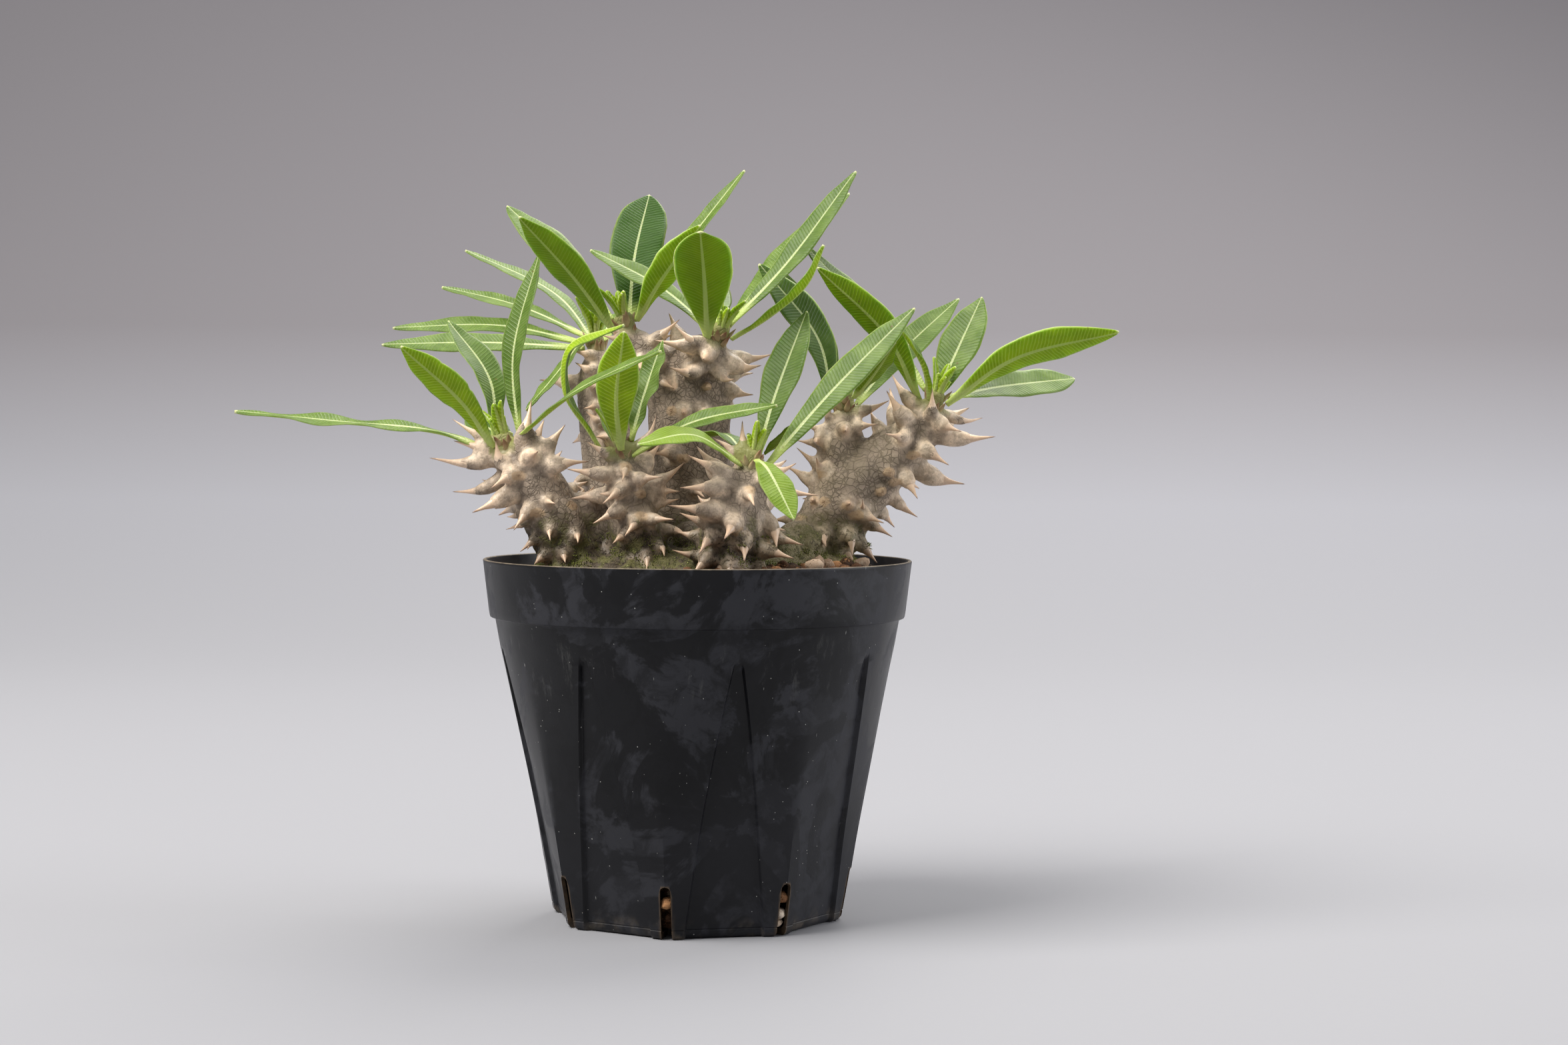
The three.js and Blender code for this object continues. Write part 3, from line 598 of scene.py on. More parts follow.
@dataclass(frozen=True)
class PotPlastic:
    """Thin black satin plastic, water-marked, specked, scratched and dusty on the rim."""

    body: Colour = (0.0022, 0.0023, 0.003)
    water_mark: Colour = (0.021, 0.0215, 0.026)
    speck: Colour = (0.42, 0.42, 0.4)
    dust: Colour = (0.3, 0.24, 0.17)
    cut_edge: Colour = (0.11, 0.075, 0.045)
    rim_dust_heights: tuple[float, float] = (74.75, 74.95)
    scuffs_begin: tuple[float, float] = (44.0, 54.0)
    scuffs_end: tuple[float, float] = (63.4, 58.0)
    foot_dust_height: float = 5.0

    def build(self) -> bpy.types.Material:
        """Makes the material."""
        g = Graph("pot_plastic")
        broad = g.rise(g.cloud(19, 6, 0.62, 1.0, shift=21.0), 0.47, 0.52)
        fine = g.rise(g.cloud(7, 6, 0.66, 0.6, shift=3.0), 0.42, 0.56)
        marked = g.times(g.span(broad, 0.12, 1.0), g.span(fine, 0.35, 1.0))
        haze = g.rise(g.cloud(60, 2, shift=8.0), 0.4, 0.62)
        colour = g.mix(marked, self.body, self.water_mark)
        colour = g.mix(g.times(haze, 0.35), colour, self.water_mark)
        streaks = g.cells(5.5, where=g.stretched(2.3, 2.3, 0.42))
        scratch = g.times(g.rise(streaks, 0.055, 0.02), g.rise(g.cloud(14, 2, shift=5.0), 0.52, 0.6))
        dots = g.sum("ADD", g.cells(1.9), g.times(g.cloud(2.4, 2, shift=13.0), 0.14))
        specks = g.times(g.rise(dots, 0.14, 0.1), g.rise(g.cloud(9, 3, shift=1.5), 0.42, 0.52))
        scuff_line = g.cloud(3.0, 6, 0.75, 0.2, where=g.stretched(1.0, 1.0, 0.16), shift=6.0)
        tall = g.height()
        by_tips = g.times(g.rise(tall, *self.scuffs_begin), g.rise(tall, *self.scuffs_end))
        scuffs = g.times(g.times(g.rise(scuff_line, 0.56, 0.72), by_tips), 0.09)
        pale = g.sum("MAXIMUM", g.sum("MAXIMUM", g.times(scratch, 0.6), g.times(specks, 0.75)), scuffs)
        colour = g.mix(pale, colour, self.speck)
        rim = g.rise(tall, *self.rim_dust_heights)
        rim = g.times(rim, g.span(g.cloud(2.2, 3, shift=2.0), -0.2, 1.1))
        foot_dust = g.rise(tall, self.foot_dust_height, 0)
        foot_dust = g.times(foot_dust, g.rise(g.cloud(4, 4, shift=9.0), 0.45, 0.75))
        colour = g.mix(g.times(foot_dust, 0.3), colour, self.dust)
        colour = g.mix(g.sum("MINIMUM", rim, 0.85), colour, self.dust)
        cut = g.times(g.mark("cut_edge"), g.span(g.cloud(1.6, 3, shift=4.0), -0.2, 1.5))
        colour = g.mix(g.sum("MINIMUM", cut, 0.9), colour, self.cut_edge)
        rough = g.sum("ADD", g.span(marked, 0.33, 0.47), g.times(rim, 0.3))
        g.set(Base_Color=colour, Roughness=g.sum("ADD", rough, g.times(pale, 0.2)), Specular_IOR_Level=0.22)
        g.bump((g.cloud(0.5, 2, shift=7.0), 0.012), (pale, 0.02), (g.cloud(16, 2, shift=11.0), 0.35))
        return g.material


@dataclass(frozen=True)
class Horn:
    """Horn of the thorns, which the bark's skin carries on as far as their swollen feet."""

    grey: Colour = (0.44, 0.345, 0.255)
    pale: Colour = (0.88, 0.7, 0.52)
    dark: Colour = (0.11, 0.08, 0.055)
    needle: Colour = (0.66, 0.45, 0.3)
    tip: Colour = (0.13, 0.06, 0.035)

    def colour(self, g: Graph, along: object, tone: object) -> bpy.types.NodeSocket:
        """The horn's colour.

        Args:
            g: The material's nodes.
            along: How far up the thorn, from 0 to 1.
            tone: How dark its foot is, from 0 to 1.

        Returns:
            The colour.
        """
        pale = g.rise(g.cloud(3.2, 4, 0.6, 0.6), 0.36, 0.62)
        base = g.mix(pale, self.grey, self.pale)
        streak = g.rise(g.cloud(1.1, 5, 0.7, shift=5.0), 0.48, 0.6)
        base = g.mix(g.times(streak, 0.35), base, self.dark)
        base = g.mix(g.sum("MINIMUM", g.times(tone, 0.9), 0.7), base, self.dark)
        up = g.sum("ADD", along, g.sum("MULTIPLY_ADD", g.cloud(1.5, 2, shift=7.0), 0.16, -0.08))
        colour = g.mix(g.times(g.rise(up, 0.4, 0.78), 0.85), base, self.needle)
        return g.mix(g.times(g.rise(up, 0.86, 1.0), 0.85), colour, self.tip)


@dataclass(frozen=True)
class Bark:
    """Grey-taupe bark with a fine net of cracks, leaf scars, dirt and moss, and painted shade in its
    hollows.
    """

    grey: Colour = (0.255, 0.2, 0.148)
    bloom: Colour = (0.4, 0.315, 0.238)
    brown: Colour = (0.042, 0.029, 0.014)
    crack: Colour = (0.075, 0.054, 0.036)
    scar: Colour = (0.56, 0.385, 0.23)
    scar_heart: Colour = (0.3, 0.18, 0.1)
    moss: Colour = (0.1, 0.092, 0.026)
    fresh_moss: Colour = (0.27, 0.275, 0.08)
    olive: Colour = (0.2, 0.17, 0.08)
    young: Colour = (0.25, 0.25, 0.085)
    crackle_size: float = 1.25
    wide_crackle_size: float = 3.1
    dirt_heights: tuple[float, float] = (87.0, 77.5)
    moss_heights: tuple[float, float] = (88.0, 79.0)
    tuft_heights: tuple[float, float] = (85.0, 78.0)
    olive_from_x: tuple[float, float] = (9.0, 20.0)

    def build(self) -> bpy.types.Material:
        """Makes the material."""
        g = Graph("bark")
        tall = g.height()
        colour = g.mix(g.rise(g.cloud(7, 4, 0.55, 0.5), 0.36, 0.66), self.grey, self.bloom)
        net = g.cells(self.crackle_size, "DISTANCE_TO_EDGE", where=g.warped(0.5, 1.6))
        aged = g.span(g.rise(g.cloud(6, 3, shift=14.0), 0.38, 0.55), 0.35, 1)
        crackle = g.times(g.rise(net, 0.12, 0.02), aged)
        wide = g.cells(self.wide_crackle_size, "DISTANCE_TO_EDGE", where=g.warped(1.0, 2.5))
        wide_net = g.rise(wide, 0.06, 0.01)
        cracked = g.sum("MAXIMUM", g.times(crackle, 0.6), g.times(wide_net, 0.5))
        along, tone, foot = g.marks("thorn")
        cracked = g.times(cracked, g.span(foot, 1.0, 0.1))
        colour = g.mix(cracked, colour, self.crack)
        grain = g.cloud(0.45, 4, 0.7, shift=6.0)
        colour = g.mix(g.times(g.rise(grain, 0.54, 0.75), 0.35), colour, self.crack)
        colour = g.mix(foot, colour, Horn().colour(g, along, tone))
        spot = g.sum("ADD", g.mark("scar"), g.times(g.sum("SUBTRACT", g.cloud(0.9, 3, shift=5.0), 0.5), 1.2))
        colour = g.mix(g.times(g.rise(spot, 1.45, 0.9), 0.75), colour, self.scar)
        colour = g.mix(g.times(g.rise(spot, 0.45, 0.2), 0.7), colour, self.scar_heart)
        # Painted shade: the bark is darkened toward the crack colour where the skin is hollow.
        crease_shade = g.times(g.rise(g.mark("hollow"), 0.5, 1.0), g.span(g.cloud(2.2, 3, shift=21.0), 0.2, 1.2))
        colour = g.mix(g.times(crease_shade, 0.6), colour, self.crack)
        dirt = g.times(g.rise(g.cloud(5, 5, 0.65, shift=2.0), 0.4, 0.6), 0.25)
        low = g.times(g.rise(tall, *self.dirt_heights), g.span(g.cloud(3, 5, 0.65, shift=12.0), 0.5, 1.5))
        dirt = g.sum("MINIMUM", g.sum("MAXIMUM", dirt, low), 0.93)
        dirt = g.times(dirt, g.span(foot, 1.0, 0.6))
        rightward = g.rise(g.split(g.where)[0], *(x * MM for x in self.olive_from_x))
        earth = g.mix(g.times(rightward, 0.8), self.brown, self.olive)
        colour = g.mix(dirt, colour, earth)
        patch = g.rise(g.cloud(3.4, 6, 0.72, 0.4, shift=4.0), 0.45, 0.56)
        green = g.times(g.times(g.rise(tall, *self.moss_heights), patch), g.span(foot, 1.0, 0.2))
        colour = g.mix(g.times(green, 0.9), colour, self.moss)
        fleck = g.rise(g.cloud(1.1, 5, 0.75, shift=9.0), 0.53, 0.62)
        colour = g.mix(g.times(g.times(fleck, green), 0.75), colour, self.fresh_moss)
        colour = g.mix(g.mark("crown"), colour, self.young)
        rough = g.span(foot, 0.72, 0.42)
        g.set(Base_Color=colour, Roughness=rough, Specular_IOR_Level=0.4)
        g.bump(
            (g.sum("SUBTRACT", 1.0, cracked), 0.16),
            (grain, 0.08),
            (g.cloud(1.6, 4, 0.6, shift=3.0), 0.3),
            (g.times(fleck, g.rise(tall, *self.tuft_heights)), 0.35),
        )
        return g.material


@dataclass(frozen=True)
class ThornHorn:
    """Thorn needles: pinkish tan horn with a dark tip, dirty where they stand low."""

    horn: Horn = Horn()
    dirt_heights: tuple[float, float] = (82.0, 75.0)

    def build(self) -> bpy.types.Material:
        """Makes the material."""
        g = Graph("thorn")
        along, tone, _ = g.marks("thorn")
        colour = self.horn.colour(g, along, tone)
        low = g.times(g.rise(g.height(), *self.dirt_heights), g.span(g.cloud(2, 3, shift=12.0), 0.1, 0.8))
        colour = g.mix(g.times(low, 0.6), colour, Bark().brown)
        g.set(Base_Color=colour, Roughness=g.span(g.cloud(1.2, 2), 0.26, 0.5), Specular_IOR_Level=0.5)
        g.bump((g.cloud(0.6, 3, shift=4.0), 0.08))
        return g.material


@dataclass(frozen=True)
class LeafBlade:
    """Leaf: veined yellow-green below, grey-green satin above, with a pale midrib and margin. The underside
    is brightened as painted light shining through; per leaf, painted shade darkens it and a painted glow
    lends the upper face the underside's colour.
    """

    # The underside's colour: paler than the upper face, and brightened as painted light shining through the
    # leaf.
    below: Colour = (0.26, 0.375, 0.004)
    below_shade: Colour = (0.075, 0.155, 0.002)
    below_vein: Colour = (0.4, 0.5, 0.06)
    above: Colour = (0.075, 0.128, 0.017)
    above_bright: Colour = (0.17, 0.24, 0.06)
    above_shade: Colour = (0.02, 0.062, 0.004)
    rib_below: Colour = (0.42, 0.5, 0.15)
    rib_above: Colour = (0.5, 0.55, 0.28)
    margin: Colour = (0.4, 0.46, 0.2)
    stalk: Colour = (0.42, 0.5, 0.15)
    blemish: Colour = (0.12, 0.07, 0.02)
    tip: Colour = (0.42, 0.42, 0.24)
    vein_gap: float = 0.76
    vein_lean: float = 0.5
    vein_sharpness: float = 3.6
    vein_below: float = 0.56
    vein_above: float = 0.14

    def build(self) -> bpy.types.Material:
        """Makes the material."""
        g = Graph("leaf_blade")
        along, across, upper = g.marks("blade_place")
        share, sideways, rib = g.marks("blade_share")
        shade, underside_glow, seed = g.marks("blade_tone")
        here = g.joined(g.times(along, MM), g.times(across, MM), g.times(seed, 0.05))
        off_rib = g.sum("ABSOLUTE", across)
        edge = g.sum("ABSOLUTE", sideways)
        wobble = g.sum("SUBTRACT", g.cloud(3.0, 3, 0.5, where=here), 0.5)
        lean = g.sum("SUBTRACT", along, g.times(off_rib, self.vein_lean))
        reach = g.sum("ADD", lean, g.times(wobble, 0.7))
        flip = g.times(g.sum("SIGN", across), self.vein_gap / 4)
        turn = g.times(g.sum("ADD", reach, flip), 2 * math.pi / self.vein_gap)
        ripple = g.sum("MULTIPLY_ADD", g.sum("SINE", turn), 0.5, 0.5)
        vein = g.sum("POWER", ripple, self.vein_sharpness)
        vein = g.times(vein, g.rise(edge, 0.97, 0.8))
        mottle = g.rise(g.cloud(5, 4, 0.6, where=here, shift=2.0), 0.38, 0.64)
        fleck = g.rise(g.cloud(0.5, 3, 0.7, where=here, shift=4.0), 0.55, 0.75)
        under = g.mix(g.span(mottle, 0.0, 0.4), self.below, self.below_shade)
        under = g.mix(g.times(vein, self.vein_below), under, self.below_vein)
        over = g.mix(g.span(mottle, 0.0, 0.5), self.above, self.above_bright)
        over = g.mix(g.times(vein, self.vein_above), over, self.above_bright)
        over = g.mix(g.times(fleck, 0.25), over, self.above_bright)
        # Painted shade darkens each leaf by its shade; the painted glow gives its upper face the lit-through
        # underside colour.
        under = g.mix(shade, under, self.below_shade)
        over = g.mix(underside_glow, over, self.below)
        over = g.mix(g.times(shade, 0.85), over, self.above_shade)
        colour = g.mix(upper, under, over)
        rib_width = g.span(share, 0.62, 0.16)
        near_rib = g.sum("DIVIDE", off_rib, rib_width)
        narrow = g.span(upper, 1.0, 1.5)
        on_rib = g.rise(g.times(near_rib, narrow), 1.25, 0.75)
        rib_colour = g.mix(upper, self.rib_below, self.rib_above)
        colour = g.mix(g.times(on_rib, g.span(share, 1.0, 0.55)), colour, rib_colour)
        at_margin = g.times(g.rise(edge, 0.9, 0.97), g.rise(share, 0.12, 0.3))
        colour = g.mix(g.times(at_margin, 0.32), colour, self.margin)
        colour = g.mix(g.rise(share, 0.2, 0.06), colour, self.stalk)
        colour = g.mix(g.rise(share, 0.986, 0.996), colour, self.tip)
        spots = g.rise(g.cells(4.5, where=here), 0.07, 0.03)
        brown = g.times(spots, g.rise(g.cloud(11, 2, where=here, shift=6.0), 0.55, 0.6))
        colour = g.mix(g.times(brown, 0.8), colour, self.blemish)
        rough = g.sum("ADD", g.span(upper, 0.55, 0.4), g.times(fleck, 0.1))
        g.set(
            Base_Color=colour,
            Roughness=rough,
            Specular_IOR_Level=0.17,
            Subsurface_Weight=0.36,
            Subsurface_Scale=0.0012,
        )
        g.shader.inputs["Subsurface Radius"].default_value = (0.7, 1.0, 0.25)
        g.bump((vein, 0.05), (fleck, 0.02), (g.cloud(1.3, 3, where=here, shift=8.0), 0.09))
        return g.material


@dataclass(frozen=True)
class Grit:
    """Loose potting grains of one colour range."""

    name: str
    dark: Colour
    middle: Colour
    pale: Colour
    rough: float = 0.9

    def build(self) -> bpy.types.Material:
        """Makes the material."""
        g = Graph(self.name)
        tone = g.mark("tone")
        body = g.ramp(tone, (0.0, self.dark), (0.55, self.middle), (1.0, self.pale))
        pores = g.rise(g.cells(0.7), 0.3, 0.12)
        body = g.mix(g.times(pores, 0.4), body, self.dark)
        body = g.mix(g.rise(g.cloud(0.8, 4, 0.7), 0.55, 0.7), body, self.pale)
        dusty = g.mix(g.times(g.rise(g.cloud(1.8, 3, shift=3.0), 0.45, 0.6), 0.5), body, self.middle)
        g.set(Base_Color=dusty, Roughness=self.rough, Specular_IOR_Level=0.25)
        g.bump((g.cloud(0.35, 4, 0.7), 0.2), (pores, -0.12))
        return g.material


@dataclass(frozen=True)
class BudScale:
    """Small dry scales between the leaf stalks."""

    base: Colour = (0.36, 0.27, 0.14)
    tip: Colour = (0.2, 0.085, 0.045)

    def build(self) -> bpy.types.Material:
        """Makes the material."""
        g = Graph("bud_scale")
        along, tone, _ = g.marks("thorn")
        mixed = g.sum("ADD", along, g.sum("MULTIPLY_ADD", g.cloud(0.8), 0.5, -0.25))
        colour = g.mix(g.rise(mixed, 0.2, 0.8), self.base, self.tip)
        colour = g.mix(g.times(tone, 0.4), colour, (0.42, 0.4, 0.2))
        g.set(Base_Color=colour, Roughness=0.6, Specular_IOR_Level=0.35)
        g.bump((g.cloud(0.4, 3), 0.08))
        return g.material


@dataclass(frozen=True)
class Moss:
    """Low moss and algae between the feet of the stems."""

    deep: Colour = (0.07, 0.075, 0.018)
    fresh: Colour = (0.26, 0.28, 0.07)

    def build(self) -> bpy.types.Material:
        """Makes the material."""
        g = Graph("moss")
        along, tone, _ = g.marks("thorn")
        colour = g.mix(g.times(along, g.span(tone, 0.4, 1.0)), self.deep, self.fresh)
        g.set(Base_Color=colour, Roughness=0.85, Specular_IOR_Level=0.2)
        g.bump((g.cloud(0.3, 2), 0.05))
        return g.material


@dataclass(frozen=True)
class Paper:
    """The studio's paper, painted darker above the bend as painted shade where the light falls off, and a
    touch lighter where the bend begins.
    """

    low: Colour = (0.243, 0.244, 0.26)
    middle: Colour = (0.246, 0.247, 0.267)
    # Painted shade: high is darker, standing in for the light falling off up the backdrop; middle is a
    # little lighter as painted light where the bend starts.
    high: Colour = (0.172, 0.164, 0.174)
    middle_height: float = 60.0
    full_height: float = 175.0

    def build(self) -> bpy.types.Material:
        """Makes the material."""
        g = Graph("paper")
        climb = g.times(g.height(), 1 / self.full_height)
        middle_at = self.middle_height / self.full_height
        colour = g.ramp(climb, (0.0, self.low), (middle_at, self.middle), (1.0, self.high))
        g.set(Base_Color=colour, Roughness=0.7, Specular_IOR_Level=0.2)
        g.bump((g.cloud(2, 3), 0.03))
        return g.material


# The pot


@dataclass
class NurseryPot:
    """The thin moulded pot: round rim, eight-cornered foot, sunk panels and corner slits."""

    height: float = 75.0
    rim_radius: float = 45.0
    band_height: float = 12.0
    band_foot_radius: float = 43.6
    body_top_radius: float = 42.5
    foot_corner_radius: float = 31.0
    foot_rise: float = 1.2
    foot_inset: float = 0.8
    wall: float = 0.9
    floor: float = 1.4
    corners: int = 8
    first_corner: float = -10.5
    panel_half: float = 16.0
    panel_tip_half: float = 0.9
    panel_depth: float = 0.9
    panel_top: float = 57.0
    panel_run_out: float = 2.0
    step_angle: float = 0.7
    slit_width: float = 2.2
    slit_height: float = 11.0
    slit_floor_reach: float = 7.0

    @property
    def sector(self) -> float:
        """Degrees from one foot corner to the next."""
        return 360 / self.corners

    @property
    def body_top(self) -> float:
        """Height of the underside of the band."""
        return self.height - self.band_height

    def panel_half_angle(self, z: float) -> float:
        """Half the angle that a sunk panel covers at a height."""
        return lerp(self.panel_half, self.panel_tip_half, clamp(z / self.panel_top))

    def sink(self, z: float) -> float:
        """How deep the panels are sunk at a height."""
        return self.panel_depth * (1 - smooth(z, self.panel_top - self.panel_run_out, self.panel_top))

    def radius_at(self, z: float, angle: float) -> float:
        """Radius of the body before the panels are sunk.

        Args:
            z: The height.
            angle: Degrees from the middle of the sector.

        Returns:
            The radius.
        """
        plain = lerp(self.foot_corner_radius, self.body_top_radius, clamp(z / self.body_top))
        flat = math.cos(math.radians(self.sector / 2)) / math.cos(math.radians(angle))
        return plain * lerp(1.0, flat, clamp(1 - z / self.panel_top))

    def profile(self, z: float, inset: float) -> list[tuple[float, float]]:
        """Angle and radius of each station across one sector."""
        half = self.sector / 2
        widen = math.degrees(inset / self.radius_at(z, 0))
        panel = self.panel_half_angle(z) + widen
        outer = panel + self.step_angle / 2
        inner = max(panel - self.step_angle / 2, self.panel_tip_half / 3)
        depth = self.sink(z)
        plain = [(lerp(half, outer, step / 6), 0.0) for step in range(7)]
        step_side = [(lerp(outer, inner, share), depth * smooth(share, 0, 1)) for share in (0.15, 0.5, 0.85)]
        sunk = [(lerp(inner, 0, step / 5), depth) for step in range(5)]
        right = plain + step_side + sunk
        stations = [(-angle, d) for angle, d in right] + [(0.0, depth)] + right[:0:-1]
        return [(angle, self.radius_at(z, angle) - inset - d) for angle, d in stations]

    def around(self, angle: float, radius: float, z: float) -> Point:
        """The point at an angle from the front toward the right."""
        turn = math.radians(angle)
        return (radius * math.sin(turn), -radius * math.cos(turn), z)

    def body_ring(self, z: float, inset: float = 0.0, drawn_in: float = 0.0) -> np.ndarray:
        """A ring of the body's wall."""
        ring = []
        for corner in range(self.corners):
            middle = self.first_corner + (corner + 0.5) * self.sector
            ring += [self.around(middle + a, r - drawn_in, z) for a, r in self.profile(z, inset)]
        return np.array(ring)

    def round_ring(self, z: float, radius: float) -> np.ndarray:
        """A round ring whose points stand at the body's angles."""
        ring = self.body_ring(min(z, self.body_top))
        reach = np.linalg.norm(ring[:, :2], axis=1)
        out = ring * (radius / reach)[:, None]
        out[:, 2] = z
        return out

    def band_ring(self, share: float, inset: float = 0.0) -> np.ndarray:
        """A ring of the band, at a share of its height."""
        radius = lerp(self.band_foot_radius, self.rim_radius, share) - inset
        return self.round_ring(lerp(self.body_top, self.height, share), radius)

    def rings(self) -> list[np.ndarray]:
        """The wall's section, up the outside, over the rim and down the inside."""
        top, band = self.body_top, self.height
        outside = [self.body_ring(0.0, drawn_in=self.foot_inset), self.body_ring(0.35, drawn_in=0.32)]
        outside += [self.body_ring(self.foot_rise * share, drawn_in=0.1 * (1 - share)) for share in (0.6, 1)]
        outside += [self.body_ring(1.75), self.body_ring(1.95, drawn_in=0.13), self.body_ring(2.15)]
        outside += [self.body_ring(z) for z in np.linspace(3, 53, 19)]
        outside += [self.body_ring(z) for z in (54.2, 55, 55.5, 56, 56.5, 57, 57.4, 59, 61, top - 0.35)]
        outside += [
            self.round_ring(top - 0.02, self.body_top_radius + 0.12),
            self.round_ring(top + 0.04, self.band_foot_radius - 0.3),
            self.round_ring(top + 0.14, self.band_foot_radius - 0.1),
            self.round_ring(top + 0.4, self.band_foot_radius),
        ]
        outside += [self.band_ring(share) for share in (0.12, 0.3, 0.5, 0.7, 0.86, 0.95)]
        edge = self.rim_radius - 0.02
        lip = [(band - 0.3, edge), (band - 0.12, edge - 0.05), (band - 0.02, edge - 0.18)]
        lip += [(band, edge - 0.4), (band - 0.03, edge - 0.66), (band - 0.16, edge - 0.8)]
        over = [self.round_ring(z, radius) for z, radius in lip]
        inner = [self.band_ring(share, self.wall) for share in (0.9, 0.6, 0.3, 0.05)]
        inner += [self.body_ring(z, self.wall) for z in (top - 0.5, 57, 55, 40, 28, 15, self.floor + 0.8)]
        inner += [self.body_ring(self.floor, self.wall, drawn_in=0.8)]
        return outside + over + inner

    def wander(self, points: np.ndarray) -> np.ndarray:
        """Bows the wall in by a little, as thin plastic does."""
        out = points.copy()
        for row, (x, y, z) in enumerate(points):
            push = noise.noise(Vector((x, y, z * 0.7)) / 26.0)
            reach = max(math.hypot(x, y), 1e-6)
            amount = (0.16 * push - 0.16) * smooth(z, 2, 20)
            out[row, 0] += x / reach * amount
            out[row, 1] += y / reach * amount
        return out

    def slit_cutter(self) -> bpy.types.Object:
        """The eight slots with round tops that are cut out of the foot corners."""
        half = self.slit_width / 2
        arc = [math.pi * step / 12 for step in range(13)]
        crown = self.slit_height - half
        outline = [(-half, -2.0), (half, -2.0)]
        outline += [(half * math.cos(a), crown + half * math.sin(a)) for a in arc]
        skin = Skin()
        inner = self.foot_corner_radius - self.slit_floor_reach
        for corner in range(self.corners):
            turn = math.radians(self.first_corner + corner * self.sector)
            side = np.array([math.cos(turn), math.sin(turn), 0.0])
            out = np.array([math.sin(turn), -math.cos(turn), 0.0])
            rings = [
                np.array([side * u + out * reach + UP * z for u, z in outline])
                for reach in (inner, self.foot_corner_radius + 6)
            ]
            skin.add(*closed_tube(rings))
        mesh = skin.mesh("slit_cutter")
        tidy = bmesh.new()
        tidy.from_mesh(mesh)
        bmesh.ops.recalc_face_normals(tidy, faces=tidy.faces)
        tidy.to_mesh(mesh)
        tidy.free()
        return linked("slit_cutter", mesh)

    def cut_edge_mark(self, points: np.ndarray) -> np.ndarray:
        """How near each point is to the edge of a slit, from 0 to 1."""
        angle = np.degrees(np.arctan2(points[:, 0], -points[:, 1])) - self.first_corner
        off = (angle + self.sector / 2) % self.sector - self.sector / 2
        sideways = np.radians(off) * np.hypot(points[:, 0], points[:, 1])
        half = self.slit_width / 2
        straight = np.abs(np.abs(sideways) - half)
        crown = np.abs(np.hypot(sideways, points[:, 2] - (self.slit_height - half)) - half)
        distance = np.where(points[:, 2] > self.slit_height - half, crown, straight)
        wall = np.hypot(points[:, 0], points[:, 1]) > self.foot_corner_radius - 4
        return np.where(wall, np.clip(1 - distance / 0.22, 0, 1), 0)

    def build(self, finish: PotPlastic) -> bpy.types.Object:
        """Makes the pot, with its slits cut.

        Args:
            finish: The plastic.

        Returns:
            The pot.
        """
        rings = [self.wander(ring) for ring in self.rings()]
        blank = linked("pot_blank", new_mesh("pot_blank", *closed_tube(rings)))
        cutter = self.slit_cutter()
        cut = blank.modifiers.new("slits", "BOOLEAN")
        cut.object = cutter
        cut.solver = "EXACT"
        made = settled(blank)
        bpy.data.objects.remove(cutter)
        write_mark(made, "cut_edge", self.cut_edge_mark(mesh_points(made)))
        return place_mesh("nursery_pot", made, Dress(finish.build(), "pot_plastic", ("pot",), 28.0))


# The potting mix


@dataclass(frozen=True)
class Mound:
    """The low oval mound of the caudex, which stands out of the mix."""

    centre: tuple[float, float] = (-0.5, -1.0)
    half_width: float = 35.5
    half_depth: float = 27.0
    foot: float = 58.0
    shoulder: float = 72.6
    top: float = 79.5
    sides: int = 96

    def ring(self, z: float, scale: float) -> np.ndarray:
        """One ring of the mound."""
        ring = []
        for side in range(self.sides):
            angle = side / self.sides * 2 * math.pi
            lobe = 1 + 0.035 * math.cos(3 * angle + 0.7) + 0.025 * math.cos(5 * angle)
            x = self.centre[0] + self.half_width * scale * lobe * math.cos(angle)
            y = self.centre[1] + self.half_depth * scale * lobe * math.sin(angle)
            ring.append((x, y, z))
        return np.array(ring)

    def form(self) -> tuple[np.ndarray, list]:
        """The mound as one closed form."""
        rings = [self.ring(self.foot, 0.8), self.ring(self.foot + 4, 1.0)]
        for step in np.linspace(0, 1, 9):
            scale = max(math.sqrt(1 - step**1.6), 0.2)
            rings.append(self.ring(lerp(self.shoulder, self.top, step), scale))
        return closed_tube(rings)

    def height(self, x: float, y: float) -> float:
        """About how high the mound is over a place."""
        across, deep = (x - self.centre[0]) / self.half_width, (y - self.centre[1]) / self.half_depth
        return lerp(self.shoulder, self.top, max(1 - across**2 - deep**2, 0.0) ** 0.625)


